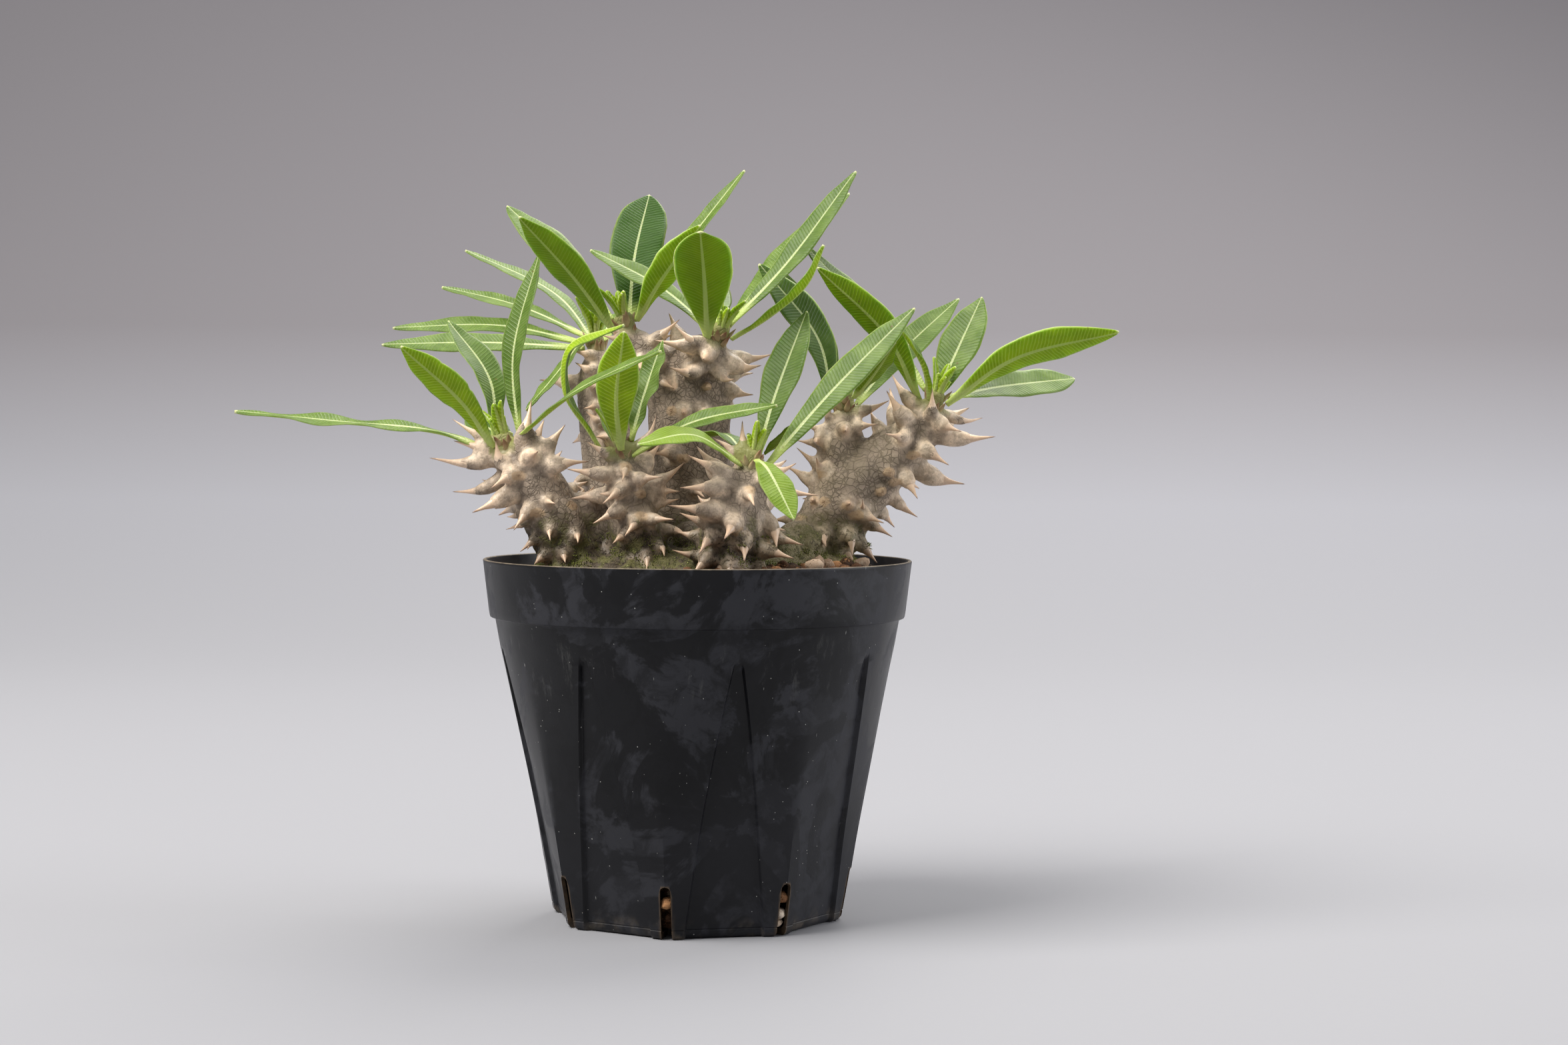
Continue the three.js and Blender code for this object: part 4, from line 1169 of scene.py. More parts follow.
@dataclass
class PottingMix:
    """The bed of mix, and the loose grains on it and behind the slits."""

    pot: NurseryPot
    mound: Mound = Mound()
    top: float = 71.6
    crown: float = 1.2
    grain_count: int = 1500
    pumice_count: int = 260
    heap_count: int = 520
    heap_top: float = 74.0
    heap_turn: float = -38.0
    heap_spread: float = 26.0
    heap_reach: tuple[float, float] = (0.72, 1.03)
    scatter_reach: float = 41.8
    scatter_from: float = 0.28
    rim_reach: float = 42.3
    wall_reach: float = 42.7
    slit_grains: int = 6
    slit_pumice: int = 2
    shapes: int = 12
    slit_hollow: float = 3.4
    seed: int = 5

    @property
    def stones(self) -> dict[str, tuple[tuple[Point, float, float], ...]]:
        """Single stones that the photograph shows, each with its radius and paleness."""
        pot = self.pot
        front, right = pot.first_corner, pot.first_corner + pot.sector
        behind = pot.foot_corner_radius - 1.2
        return {
            "potting_grains": (
                (pot.around(front, behind + 0.1, 7.4), 2.1, 1.0),
                (pot.around(front, behind - 1.5, 4.4), 1.0, 0.3),
                (pot.around(right, behind + 0.1, 8.0), 2.0, 0.7),
                ((13.6, -28.4, 74.0), 1.1, 0.45),
                ((16.0, -27.8, 74.2), 1.3, 0.8),
                ((19.4, -27.4, 74.3), 1.5, 0.1),
                ((27.2, -26.0, 74.0), 1.4, 0.3),
                ((29.8, -24.6, 73.9), 1.3, 0.6),
            ),
            "pumice_grains": (
                ((23.6, -27.2, 74.9), 2.3, 0.6),
                (pot.around(right, behind, 4.6), 1.45, 1.0),
                (pot.around(right, behind - 0.4, 2.6), 1.2, 0.8),
            ),
        }

    def bed_height(self, x: float, y: float) -> float:
        """Height of the bed under the loose grains."""
        reach = math.hypot(x, y) / 43
        return self.top - 1.1 + self.crown * (1 - reach) + 0.5 * noise.noise(Vector((x, y, 0.0)) / 4)

    def build_bed(self, finish: Grit) -> bpy.types.Object:
        """Makes the bed, closed below, which the loose grains lie on.

        Args:
            finish: The mix's colours.

        Returns:
            The bed.
        """
        pot = self.pot
        inset = pot.wall + GAP
        rings = [pot.body_ring(pot.floor + GAP, inset, drawn_in=self.slit_hollow)]
        rings += [pot.body_ring(z, inset, drawn_in=self.slit_hollow) for z in (3, 8, 11)]
        rings += [pot.body_ring(z, inset) for z in (13.5, 28, 42, 55, 57, 62)]
        rim = pot.band_ring(0.7, inset)
        rim[:, 2] = self.top - 1.4
        rings.append(rim)
        for share in np.linspace(0.98, 0.05, 34):
            ring = rim * share
            ring[:, 2] = [self.bed_height(x, y) for x, y in ring[:, :2]]
            rings.append(ring)
        points, faces = closed_tube(rings)
        skin = Skin()
        skin.add(points, faces, {"tone": np.full(len(points), 0.25)})
        return skin.place("potting_mix", Dress(finish.build(), "potting_mix", ("soil",)))

    def grain_shapes(self, rng: random.Random) -> list[tuple[np.ndarray, list[tuple[int, ...]]]]:
        """A few broken, rounded forms that all grains are copies of."""
        shapes = []
        for _ in range(self.shapes):
            ball = bmesh.new()
            bmesh.ops.create_icosphere(ball, subdivisions=2, radius=1.0)
            shift = Vector((rng.random() * 50, rng.random() * 50, rng.random() * 50))
            squeeze = Vector((1.0, rng.uniform(0.7, 1.0), rng.uniform(0.55, 0.9)))
            for vertex in ball.verts:
                bulge = 1 + 0.34 * noise.noise(vertex.co * 1.1 + shift)
                bulge += 0.14 * noise.noise(vertex.co * 2.7 + shift)
                vertex.co = Vector(a * b for a, b in zip(vertex.co * bulge, squeeze))
            points = np.array([tuple(vertex.co) for vertex in ball.verts])
            faces = [tuple(vertex.index for vertex in face.verts) for face in ball.faces]
            shapes.append((points, faces))
            ball.free()
        return shapes

    def lay(
        self,
        skin: Skin,
        shape: tuple[np.ndarray, list],
        centre: Point,
        radius: float,
        rng: random.Random,
        tone: float | None = None,
    ) -> None:
        """Adds one grain to a skin.

        Args:
            skin: The skin that it is added to.
            shape: The grain's form, of radius 1.
            centre: Where it lies.
            radius: Its radius.
            rng: The source of its turn and tone.
            tone: How pale it is from 0 to 1, or None for a random tone.
        """
        points, faces = shape
        spin = Matrix.Rotation(rng.random() * 6.28, 3, "Z") @ Matrix.Rotation(rng.uniform(-0.7, 0.7), 3, "X")
        turned_points = points @ np.array(spin).T * radius + np.array(centre)
        reach = np.hypot(turned_points[:, 0], turned_points[:, 1])
        most = self.wall_reach if centre[2] > self.pot.band_height else math.inf
        scale = np.minimum(1.0, most / np.maximum(reach, 1e-6))
        turned_points[:, 0] *= scale
        turned_points[:, 1] *= scale
        shade = rng.random() ** 1.3 if tone is None else tone
        skin.add(turned_points, faces, {"tone": np.full(len(points), shade)})

    def build_grains(
        self, name: str, finish: Grit, count: int, sizes: tuple[float, float]
    ) -> bpy.types.Object:
        """Scatters grains over the bed and behind the slits.

        Args:
            name: The piece's name.
            finish: The grains' colours.
            count: How many lie on top.
            sizes: The smallest and largest radius.

        Returns:
            The grains, as one piece.
        """
        rng = random.Random(self.seed + count)
        shapes = self.grain_shapes(rng)
        skin = Skin()
        for _ in range(count):
            reach = self.scatter_reach * math.sqrt(rng.uniform(self.scatter_from, 1.0))
            turn = rng.random() * 2 * math.pi
            radius = lerp(*sizes, rng.random() ** 2.2)
            reach = min(reach, self.rim_reach - radius * 0.6)
            x, y = reach * math.cos(turn), reach * math.sin(turn)
            z = self.bed_height(x, y) + radius * rng.uniform(0.1, 0.75)
            self.lay(skin, rng.choice(shapes), (x, y, z), radius, rng)
        for _ in range(self.heap_count * count // self.grain_count):
            turn = math.radians(rng.gauss(self.heap_turn, self.heap_spread))
            reach = rng.uniform(*self.heap_reach)
            x = self.mound.half_width * reach * math.cos(turn)
            y = self.mound.half_depth * reach * math.sin(turn) + self.mound.centre[1]
            radius = lerp(*sizes, rng.random() ** 1.6)
            bark = self.mound.height(x, y)
            if bark > self.heap_top:
                continue
            z = max(bark, self.bed_height(x, y)) + radius * rng.uniform(0.2, 0.7)
            self.lay(skin, rng.choice(shapes), (x, y, z), radius, rng)
        for corner in range(self.pot.corners):
            for _ in range(self.slit_pumice if "pumice" in name else self.slit_grains):
                radius = rng.uniform(0.9, 1.6)
                off = math.degrees(rng.uniform(-1.3, 1.3) / 30)
                angle = self.pot.first_corner + corner * self.pot.sector + off
                reach = self.pot.foot_corner_radius - 2.9 - radius * 0.4
                centre = self.pot.around(angle, reach, rng.uniform(3.2, 10.8))
                self.lay(skin, rng.choice(shapes), centre, radius, rng)
        for centre, radius, tone in self.stones[name]:
            self.lay(skin, rng.choice(shapes), centre, radius, rng, tone)
        return skin.place(name, Dress(finish.build(), "potting_mix", (), SMOOTH))


# The woody plant


@dataclass(frozen=True)
class PhotoView:
    """The camera that the photograph was taken with, in millimetres, and the picture's size."""

    eye: Point = (6.361, -587.312, 101.191)
    right: Point = (0.99978968, -0.01958801, 0.00607508)
    up: Point = (-0.00545642, 0.03148366, 0.99948937)
    forward: Point = (0.01976928, 0.99931231, -0.03137016)
    lens: float = 64.36
    sensor: float = 36.0
    wide: int = 2352
    tall: int = 1568

    def sight(self, pixel: Pixel) -> np.ndarray:
        """The direction of the line of sight through a pixel."""
        reach = self.lens / self.sensor * self.wide
        across, down = (pixel[0] - self.wide / 2) / reach, (pixel[1] - self.tall / 2) / reach
        return unit(np.array(self.forward) + np.array(self.right) * across - np.array(self.up) * down)

    def at_depth(self, pixel: Pixel, y: float) -> np.ndarray:
        """The point on a pixel's line of sight that lies at a depth y."""
        sight = self.sight(pixel)
        return np.array(self.eye) + sight * (y - self.eye[1]) / sight[1]


@dataclass(frozen=True)
class ThornRule:
    """How many pairs of thorns a stem has, and from which part of it to which."""

    pairs: int
    low: float
    high: float
    seed: int


@dataclass(frozen=True)
class StemPlan:
    """A stem: points up its middle, each with the radius there, and its thorns."""

    name: str
    rows: tuple[tuple[float, float, float, float], ...]
    thorns: ThornRule


STEMS = (
    StemPlan(
        "left",
        (
            (-21, -9, 70, 7.5), (-25.5, -11, 76, 6.8), (-28.6, -12, 82, 6.4), (-31.6, -12, 88, 6.1),
            (-34.4, -12, 92.6, 5.6), (-37.2, -12, 95.4, 3.9), (-38.6, -12, 97, 2.1),
        ),
        ThornRule(pairs=16, low=0.16, high=0.93, seed=11),
    ),
    StemPlan(
        "small",
        (
            (-9, -13, 70, 7), (-11.2, -15.5, 77, 5.9), (-12.8, -16, 83.5, 5.3), (-14, -16.2, 89, 4.7),
            (-15, -16, 93.2, 3.5), (-15.6, -16, 95.6, 2.1),
        ),
        ThornRule(pairs=13, low=0.16, high=0.93, seed=23),
    ),
    StemPlan(
        "front",
        (
            (4, -15.8, 70, 7.4), (6.4, -20.8, 76, 7.2), (7.4, -23, 82, 6.6), (8.6, -23.8, 88, 5.8),
            (9.8, -24, 91.8, 4.3), (10.6, -24, 94, 2.1),
        ),
        ThornRule(pairs=18, low=0.14, high=0.92, seed=37),
    ),
    StemPlan(
        "tall",
        (
            (-1, 5, 70, 13), (-1.4, 6, 80, 10.4), (-1.8, 6, 92, 9.2), (-1.8, 5, 104, 9.2),
            (-1.6, 4, 111, 8.8), (0.4, 1, 116, 6.6), (2.8, -2.6, 118.6, 4), (3.8, -4, 120, 2.1),
        ),
        ThornRule(pairs=13, low=0.26, high=0.95, seed=41),
    ),
    StemPlan(
        "tall_fork",
        (
            (-3, 4, 107, 7.2), (-7.4, 3, 113, 6), (-11.6, 1.4, 117.6, 5), (-14, 0.4, 120.4, 3.6),
            (-15, 0, 122, 2.1),
        ),
        ThornRule(pairs=6, low=0.4, high=0.9, seed=59),
    ),
    StemPlan(
        "right",
        (
            (19, 2, 70, 9.5), (24.6, 2, 76, 7.4), (28, 2, 82, 7.6), (32.4, 2, 89.4, 8.2),
            (38, 2, 94.6, 6.6), (43.2, 1.6, 98.8, 5.6), (46.8, 0.8, 103.2, 4.4), (48.8, 0, 106.4, 2.1),
        ),
        ThornRule(pairs=17, low=0.14, high=0.95, seed=61),
    ),
    StemPlan(
        "right_fork",
        (
            (31.4, 2.4, 88, 6.6), (30.4, 2.8, 95, 5.6), (30.2, 3, 100.6, 4.9), (30.4, 3, 103.6, 3.6),
            (30.6, 3, 105.6, 2.1),
        ),
        ThornRule(pairs=7, low=0.3, high=0.92, seed=71),
    ),
    StemPlan(
        "back",
        (
            (-13, 13, 70, 8), (-17, 18, 80, 6.6), (-19.4, 21.4, 92, 6), (-20.6, 23.6, 104, 5.8),
            (-21.6, 24.6, 112, 5.2), (-22.2, 25.2, 117, 3.6), (-22.6, 25.6, 119, 2.1),
        ),
        ThornRule(pairs=12, low=0.2, high=0.94, seed=83),
    ),
)


@dataclass(frozen=True)
class Spike:
    """A thorn in millimetres: where it leaves its stem, its tip and its foot's radius."""

    root: Point
    tip: Point
    girth: float

    def on(self, stem: "Stem") -> "Spike":
        """The thorn itself, which needs no stem to be placed."""
        return self


@dataclass(frozen=True)
class SeenSpike:
    """A thorn listed by its root and tip in the photograph, how much nearer its tip is, its girth."""

    root_pixel: Pixel
    tip_pixel: Pixel
    nearer: float
    girth: float

    def on(self, stem: "Stem") -> Spike:
        """The thorn in millimetres, its root on the skin of its stem.

        Args:
            stem: The stem that it grows from.

        Returns:
            The thorn.
        """
        root = stem.seen_at(self.root_pixel)
        tip = stem.view.at_depth(self.tip_pixel, root[1] - self.nearer)
        return Spike(to_half(root), to_half(tip), self.girth)


SPIKES = {
    "left": (
        SeenSpike((723, 659), (679, 627), -2, 1.3), SeenSpike((739, 677), (682, 660), 0, 1.5),
        SeenSpike((743, 700), (644, 688), 0, 1.6), SeenSpike((756, 706), (743, 662), 2, 1.5),
        SeenSpike((772, 705), (736, 733), 5, 1.6), SeenSpike((749, 732), (678, 738), -3, 1.5),
        SeenSpike((745, 721), (722, 720), -4, 0.9), SeenSpike((772, 741), (708, 770), 4, 1.9),
        SeenSpike((781, 677), (799, 600), -2, 1.7), SeenSpike((791, 679), (818, 630), -4, 1.6),
        SeenSpike((809, 684), (850, 636), -1, 1.7), SeenSpike((790, 689), (806, 679), 6, 1.7),
        SeenSpike((813, 700), (884, 691), 1, 1.7), SeenSpike((797, 757), (770, 796), 4, 1.5),
        SeenSpike((825, 791), (825, 811), 4, 0.9), SeenSpike((865, 798), (867, 814), 4, 1.1),
        SeenSpike((781, 771), (759, 774), -2, 0.9), SeenSpike((791, 784), (760, 794), 0, 0.9),
        SeenSpike((806, 805), (779, 829), 1, 1.1), SeenSpike((802, 809), (789, 825), 2, 0.9),
        SeenSpike((816, 832), (800, 849), 3, 1.4), SeenSpike((870, 750), (893, 729), 1, 1),
        SeenSpike((877, 743), (865, 730), -1, 0.8), SeenSpike((815, 752), (834, 755), 4, 1),
        SeenSpike((846, 830), (848, 846), 4, 1.3),
    ),
    "small": (
        SeenSpike((924, 716), (849, 704), 1, 1.6), SeenSpike((926, 688), (881, 663), 0, 1.3),
        SeenSpike((964, 670), (985, 622), -1, 1.2), SeenSpike((949, 720), (992, 715), 4, 1.4),
        SeenSpike((981, 731), (1028, 693), 2, 1.3), SeenSpike((942, 725), (902, 756), 4, 1.4),
        SeenSpike((985, 738), (1021, 738), 1, 1.4), SeenSpike((937, 759), (890, 788), 3, 1.5),
        SeenSpike((960, 775), (935, 806), 5, 1.4), SeenSpike((939, 799), (917, 818), 3, 1.2),
        SeenSpike((969, 777), (1012, 779), 4, 1.3), SeenSpike((990, 815), (998, 834), 4, 1),
        SeenSpike((971, 832), (970, 858), 4, 1.1), SeenSpike((949, 840), (938, 852), 2, 1.1),
        SeenSpike((1001, 791), (1031, 806), 3, 1.3), SeenSpike((925, 742), (896, 741), -1, 1),
        SeenSpike((1004, 752), (1022, 749), 0, 1), SeenSpike((940, 695), (935, 722), 6, 1),
    ),
    "front": (
        SeenSpike((1117, 686), (1112, 632), 0, 1.4), SeenSpike((1105, 680), (1069, 657), -1, 1.2),
        SeenSpike((1100, 716), (1032, 682), 0, 1.6), SeenSpike((1095, 732), (1017, 733), 2, 1.7),
        SeenSpike((1062, 757), (1044, 741), -1, 0.9), SeenSpike((1093, 770), (1004, 759), 3, 1.8),
        SeenSpike((1068, 789), (1018, 770), 1, 1.4), SeenSpike((1071, 798), (1047, 832), 5, 1.5),
        SeenSpike((1104, 777), (1085, 809), 7, 1.7), SeenSpike((1118, 802), (1118, 844), 5, 1.7),
        SeenSpike((1152, 775), (1165, 821), 5, 1.8), SeenSpike((1161, 807), (1204, 818), 2, 1.5),
        SeenSpike((1139, 821), (1190, 837), 4, 1.6), SeenSpike((1066, 834), (1035, 863), 4, 1.5),
        SeenSpike((1093, 841), (1099, 873), 5, 1.5), SeenSpike((1114, 852), (1116, 866), 5, 1.4),
        SeenSpike((1132, 846), (1166, 870), 4, 1.4), SeenSpike((1148, 721), (1179, 720), 2, 1.6),
        SeenSpike((1154, 712), (1196, 693), 0, 1.5), SeenSpike((1161, 736), (1227, 742), 0, 1.4),
        SeenSpike((1045, 806), (1011, 797), 0, 1.2), SeenSpike((1052, 835), (1008, 826), 1, 1.1),
        SeenSpike((1120, 735), (1132, 760), 6, 1.3),
    ),
    "right": (
        SeenSpike((1366, 640), (1330, 584), 1, 1.9), SeenSpike((1371, 612), (1336, 560), -3, 1.5),
        SeenSpike((1397, 636), (1398, 584), 2, 1.4), SeenSpike((1405, 632), (1443, 647), 5, 1.6),
        SeenSpike((1405, 658), (1492, 655), 2, 1.8), SeenSpike((1429, 634), (1473, 625), -4, 1.1),
        SeenSpike((1380, 668), (1425, 699), 4, 1.7), SeenSpike((1380, 712), (1447, 728), 1, 2),
        SeenSpike((1356, 712), (1378, 748), 5, 1.6), SeenSpike((1364, 658), (1327, 649), 4, 1.4),
        SeenSpike((1340, 751), (1376, 778), 2, 1.3), SeenSpike((1288, 768), (1325, 785), 4, 1.4),
        SeenSpike((1301, 785), (1339, 805), 2, 1.3), SeenSpike((1273, 796), (1280, 836), 4, 1.5),
        SeenSpike((1232, 798), (1238, 823), 5, 1.6), Spike((33, -2.5, 79.5), (37.5, -3.5, 74.4), 1.5),
        Spike((30.5, -4, 77.5), (32.5, -7, 74.4), 1.3), SeenSpike((1319, 647), (1305, 616), -3, 1.4),
        SeenSpike((1294, 768), (1295, 750), 4, 0.9), SeenSpike((1272, 754), (1277, 757), 3, 1.2),
        SeenSpike((1221, 749), (1222, 752), 3, 1.2), SeenSpike((1217, 690), (1193, 672), 1, 1.1),
        SeenSpike((1234, 708), (1223, 686), 3, 1.3), SeenSpike((1243, 688), (1253, 672), 2, 0.9),
        SeenSpike((1200, 712), (1178, 700), 0, 1.3),
    ),
    "right_fork": (
        SeenSpike((1230, 657), (1224, 664), 5, 1.4), SeenSpike((1219, 664), (1193, 659), 0, 1.1),
        SeenSpike((1234, 647), (1206, 637), 0, 1.1), SeenSpike((1284, 623), (1336, 602), 0, 1.3),
        SeenSpike((1284, 640), (1316, 636), 1, 1.2), SeenSpike((1267, 642), (1268, 648), 5, 1.5),
        SeenSpike((1243, 632), (1249, 606), 1, 1.2),
    ),
    "tall": (
        SeenSpike((1093, 552), (1141, 548), 3, 1.9), SeenSpike((1101, 541), (1160, 532), 0, 1.6),
        SeenSpike((1078, 565), (1101, 569), 4, 1.3), SeenSpike((1056, 563), (1002, 551), 4, 1.4),
        SeenSpike((988, 567), (1011, 582), 4, 1.4), SeenSpike((1097, 587), (1132, 593), 0, 1.6),
        SeenSpike((1049, 521), (980, 511), 3, 1.5), SeenSpike((1058, 524), (1010, 489), 2, 1.5),
        SeenSpike((1062, 534), (1055, 540), 6, 1.6), SeenSpike((1027, 617), (1024, 619), 3, 1.3),
        SeenSpike((1054, 617), (1057, 619), 3, 1.3), SeenSpike((1019, 678), (973, 683), 4, 1.5),
        SeenSpike((1095, 662), (1122, 668), 1, 1.4), SeenSpike((1041, 731), (1056, 747), 5, 1.2),
        SeenSpike((1098, 615), (1118, 618), -1, 1.2), SeenSpike((975, 600), (951, 590), 1, 1.3),
        SeenSpike((1030, 652), (1026, 640), 4, 1.1),
    ),
    "tall_fork": (
        SeenSpike((971, 517), (1018, 480), 1, 1.4), SeenSpike((940, 512), (902, 505), 1, 1.3),
        SeenSpike((928, 505), (918, 488), 3, 1.2), SeenSpike((960, 545), (962, 553), 5, 1.4),
        SeenSpike((985, 538), (988, 545), 5, 1.4),
    ),
    "back": (
        SeenSpike((895, 560), (862, 543), 0, 1.4), SeenSpike((900, 590), (870, 570), 2, 1.3),
        SeenSpike((905, 640), (880, 618), 1, 1.3), SeenSpike((900, 610), (875, 612), 3, 1.2),
        SeenSpike((916, 660), (893, 655), 3, 1.2), SeenSpike((890, 535), (861, 528), 1, 1.3),
    ),
}


@dataclass(frozen=True)
class Swelling:
    """A round swelling of the bark: its middle and its radius."""

    middle: Point
    radius: float

    def on(self, stem: "Stem") -> "Swelling":
        """The swelling itself, which needs no stem to be placed."""
        return self


@dataclass(frozen=True)
class SeenScar:
    """A leaf scar listed by its pixel in the photograph and its radius."""

    pixel: Pixel
    radius: float

    def on(self, stem: "Stem") -> Swelling:
        """The scar as a swelling on the skin of its stem."""
        return Swelling(to_half(stem.seen_at(self.pixel)), self.radius)


LEAF_SCARS = {
    "left": (
        SeenScar((808, 768), 1.1), Swelling((-36, -17, 92.5), 1.1), Swelling((-26, -15.5, 86.5), 1),
    ),
    "small": (
        SeenScar((940, 700), 0.9), Swelling((-11.5, -20, 89), 0.9), SeenScar((962, 775), 1),
    ),
    "front": (
        SeenScar((1123, 735), 0.9), SeenScar((1105, 795), 0.9),
    ),
    "tall": (
        Swelling((2, -4.5, 111), 1.2), SeenScar((1025, 690), 1.1), SeenScar((1008, 618), 1.1),
        SeenScar((1033, 560), 1.4),
    ),
    "right": (
        SeenScar((1320, 737), 1.3), SeenScar((1332, 707), 1.5), SeenScar((1340, 722), 1.4),
        SeenScar((1367, 682), 1.3), Swelling((31, -6, 86.5), 1.5), Swelling((32.5, -5.5, 84.6), 1.2),
        Swelling((24.5, -2.5, 87.5), 1.3), Swelling((26.5, -4.5, 87.3), 1.2), SeenScar((1235, 710), 1.3),
        SeenScar((1205, 780), 1.7), SeenScar((1222, 800), 1.5),
    ),
}

KNOBS = (
    Swelling((-22.5, -11, 85), 4.2),
    Swelling((-19, -9.5, 81.5), 5.2),
    Swelling((-16, -6.5, 78.5), 6.0),
    Swelling((-1.5, -9, 78), 5.2),
    Swelling((16.5, -10.5, 76.5), 5.4),
    Swelling((21, -5.5, 77.5), 6.0),
)


@dataclass(frozen=True)
class Bud:
    """The stub at a stem's end that its leaves grow round."""

    radius: float = 2.0
    height: float = 4.6
    shoulder: float = 0.85
    tip_scale: float = 0.45
    leaf_start: float = 0.9
    leaf_rise: float = 1.35
    levels: int = 3


@dataclass
class Stem:
    """One stem, with the shape of its section and its bud."""

    plan: StemPlan
    view: PhotoView = PhotoView()
    bud: Bud = field(default_factory=Bud)
    sides: int = 30
    oval: float = 0.045
    ribs: float = 0.035
    twist: float = 4.0

    def __post_init__(self) -> None:
        """Lays the curve up the middle."""
        self.spine = Spine(self.plan.rows)
        self.place = self.spine.point(1)
        self.axis = unit(self.spine.tangent(1) + UP)
        self.spikes = [spike.on(self) for spike in SPIKES.get(self.plan.name, ())]
        self.leaf_scars = [scar.on(self) for scar in LEAF_SCARS.get(self.plan.name, ())]

    def seen_at(self, pixel: Pixel) -> np.ndarray:
        """Where the line of sight through a pixel meets the stem, or passes it the nearest.

        Args:
            pixel: A place in the photograph.

        Returns:
            The point.
        """
        rows = np.array(self.plan.rows, float)
        shares = np.linspace(0, 1, 30)[:, None]
        balls = np.concatenate([low * (1 - shares) + high * shares for low, high in zip(rows, rows[1:])])
        eye, sight = np.array(self.view.eye), self.view.sight(pixel)
        along = (balls[:, :3] - eye) @ sight
        gap = np.linalg.norm(eye + np.outer(along, sight) - balls[:, :3], axis=1)
        met = gap < balls[:, 3]
        if met.any():
            return eye + sight * float(np.min(along[met] - np.sqrt(balls[met, 3] ** 2 - gap[met] ** 2)))
        return eye + sight * along[np.argmin(gap - balls[:, 3])]

    def radius(self, part: float) -> float:
        """The stem's radius at a part of the way up."""
        rows = self.plan.rows
        place = clamp(part) * (len(rows) - 1)
        row = min(int(place), len(rows) - 2)
        return lerp(rows[row][3], rows[row + 1][3], place - row)

    def nearest(self, place: np.ndarray) -> tuple[float, np.ndarray]:
        """The part of the stem nearest a point, and the direction from there out to the point."""
        parts = np.linspace(0, 1, 41)
        part = min(parts, key=lambda part: float(np.linalg.norm(self.spine.point(part) - place)))
        return float(part), unit(place - self.spine.point(part))

    def ring(self, centre: np.ndarray, axis: np.ndarray, radius: float, turn: float) -> np.ndarray:
        """One ring of the stem, a little oval and ribbed."""
        first, second = square_to(axis)
        ring = []
        for side in range(self.sides):
            angle = side / self.sides * 2 * math.pi
            swell = 1 + self.oval * math.sin(2 * angle + turn) + self.ribs * math.sin(5 * angle - 2 * turn)
            ring.append(centre + (first * math.cos(angle) + second * math.sin(angle)) * radius * swell)
        return np.array(ring)

    def form(self) -> tuple[np.ndarray, list]:
        """The stem with its bud, as one closed tube."""
        steps = (len(self.plan.rows) - 1) * 5
        rings = []
        for step in range(steps + 1):
            part = step / steps
            centre, axis = self.spine.point(part), self.spine.tangent(part)
            rings.append(self.ring(centre, axis, self.radius(part), part * self.twist))
        for rise, scale in ((0.35, 1.0), (self.bud.shoulder, 1.0), (0.94, 0.8), (1.0, self.bud.tip_scale)):
            centre = self.place + self.axis * self.bud.height * rise
            rings.append(self.ring(centre, self.axis, self.bud.radius * scale, self.twist))
        return closed_tube(rings)


@dataclass(frozen=True)
class Thorn:
    """One thorn: the points that its curved middle passes, its foot's radius and its shade."""

    points: tuple[np.ndarray, ...]
    girth: float
    tone: float

    @property
    def root(self) -> np.ndarray:
        """Where the thorn starts, inside its stem."""
        return self.points[0]

    @property
    def tip(self) -> np.ndarray:
        """Where the needle ends."""
        return self.points[-1]

    def tube(self, profile: Profile, sides: int, wave: float) -> list[np.ndarray]:
        """Rings along the thorn.

        Args:
            profile: Parts of its length, each with a part of the foot's radius.
            sides: Points in a ring.
            wave: How uneven the foot is.

        Returns:
            The rings.
        """
        spine = Spine(self.points, 12)
        rings = []
        for part, girth in profile:
            place = spine.part_of_length(part)
            centre = spine.point(place)
            first, second = square_to(spine.tangent(place))
            ring = []
            for side in range(sides):
                angle = side / sides * 2 * math.pi
                spoke = first * math.cos(angle) + second * math.sin(angle)
                uneven = 1 + wave * noise.noise(Vector(tuple(centre + spoke * 2)) / 1.7)
                ring.append(centre + spoke * self.girth * girth * uneven)
            rings.append(np.array(ring))
        return rings


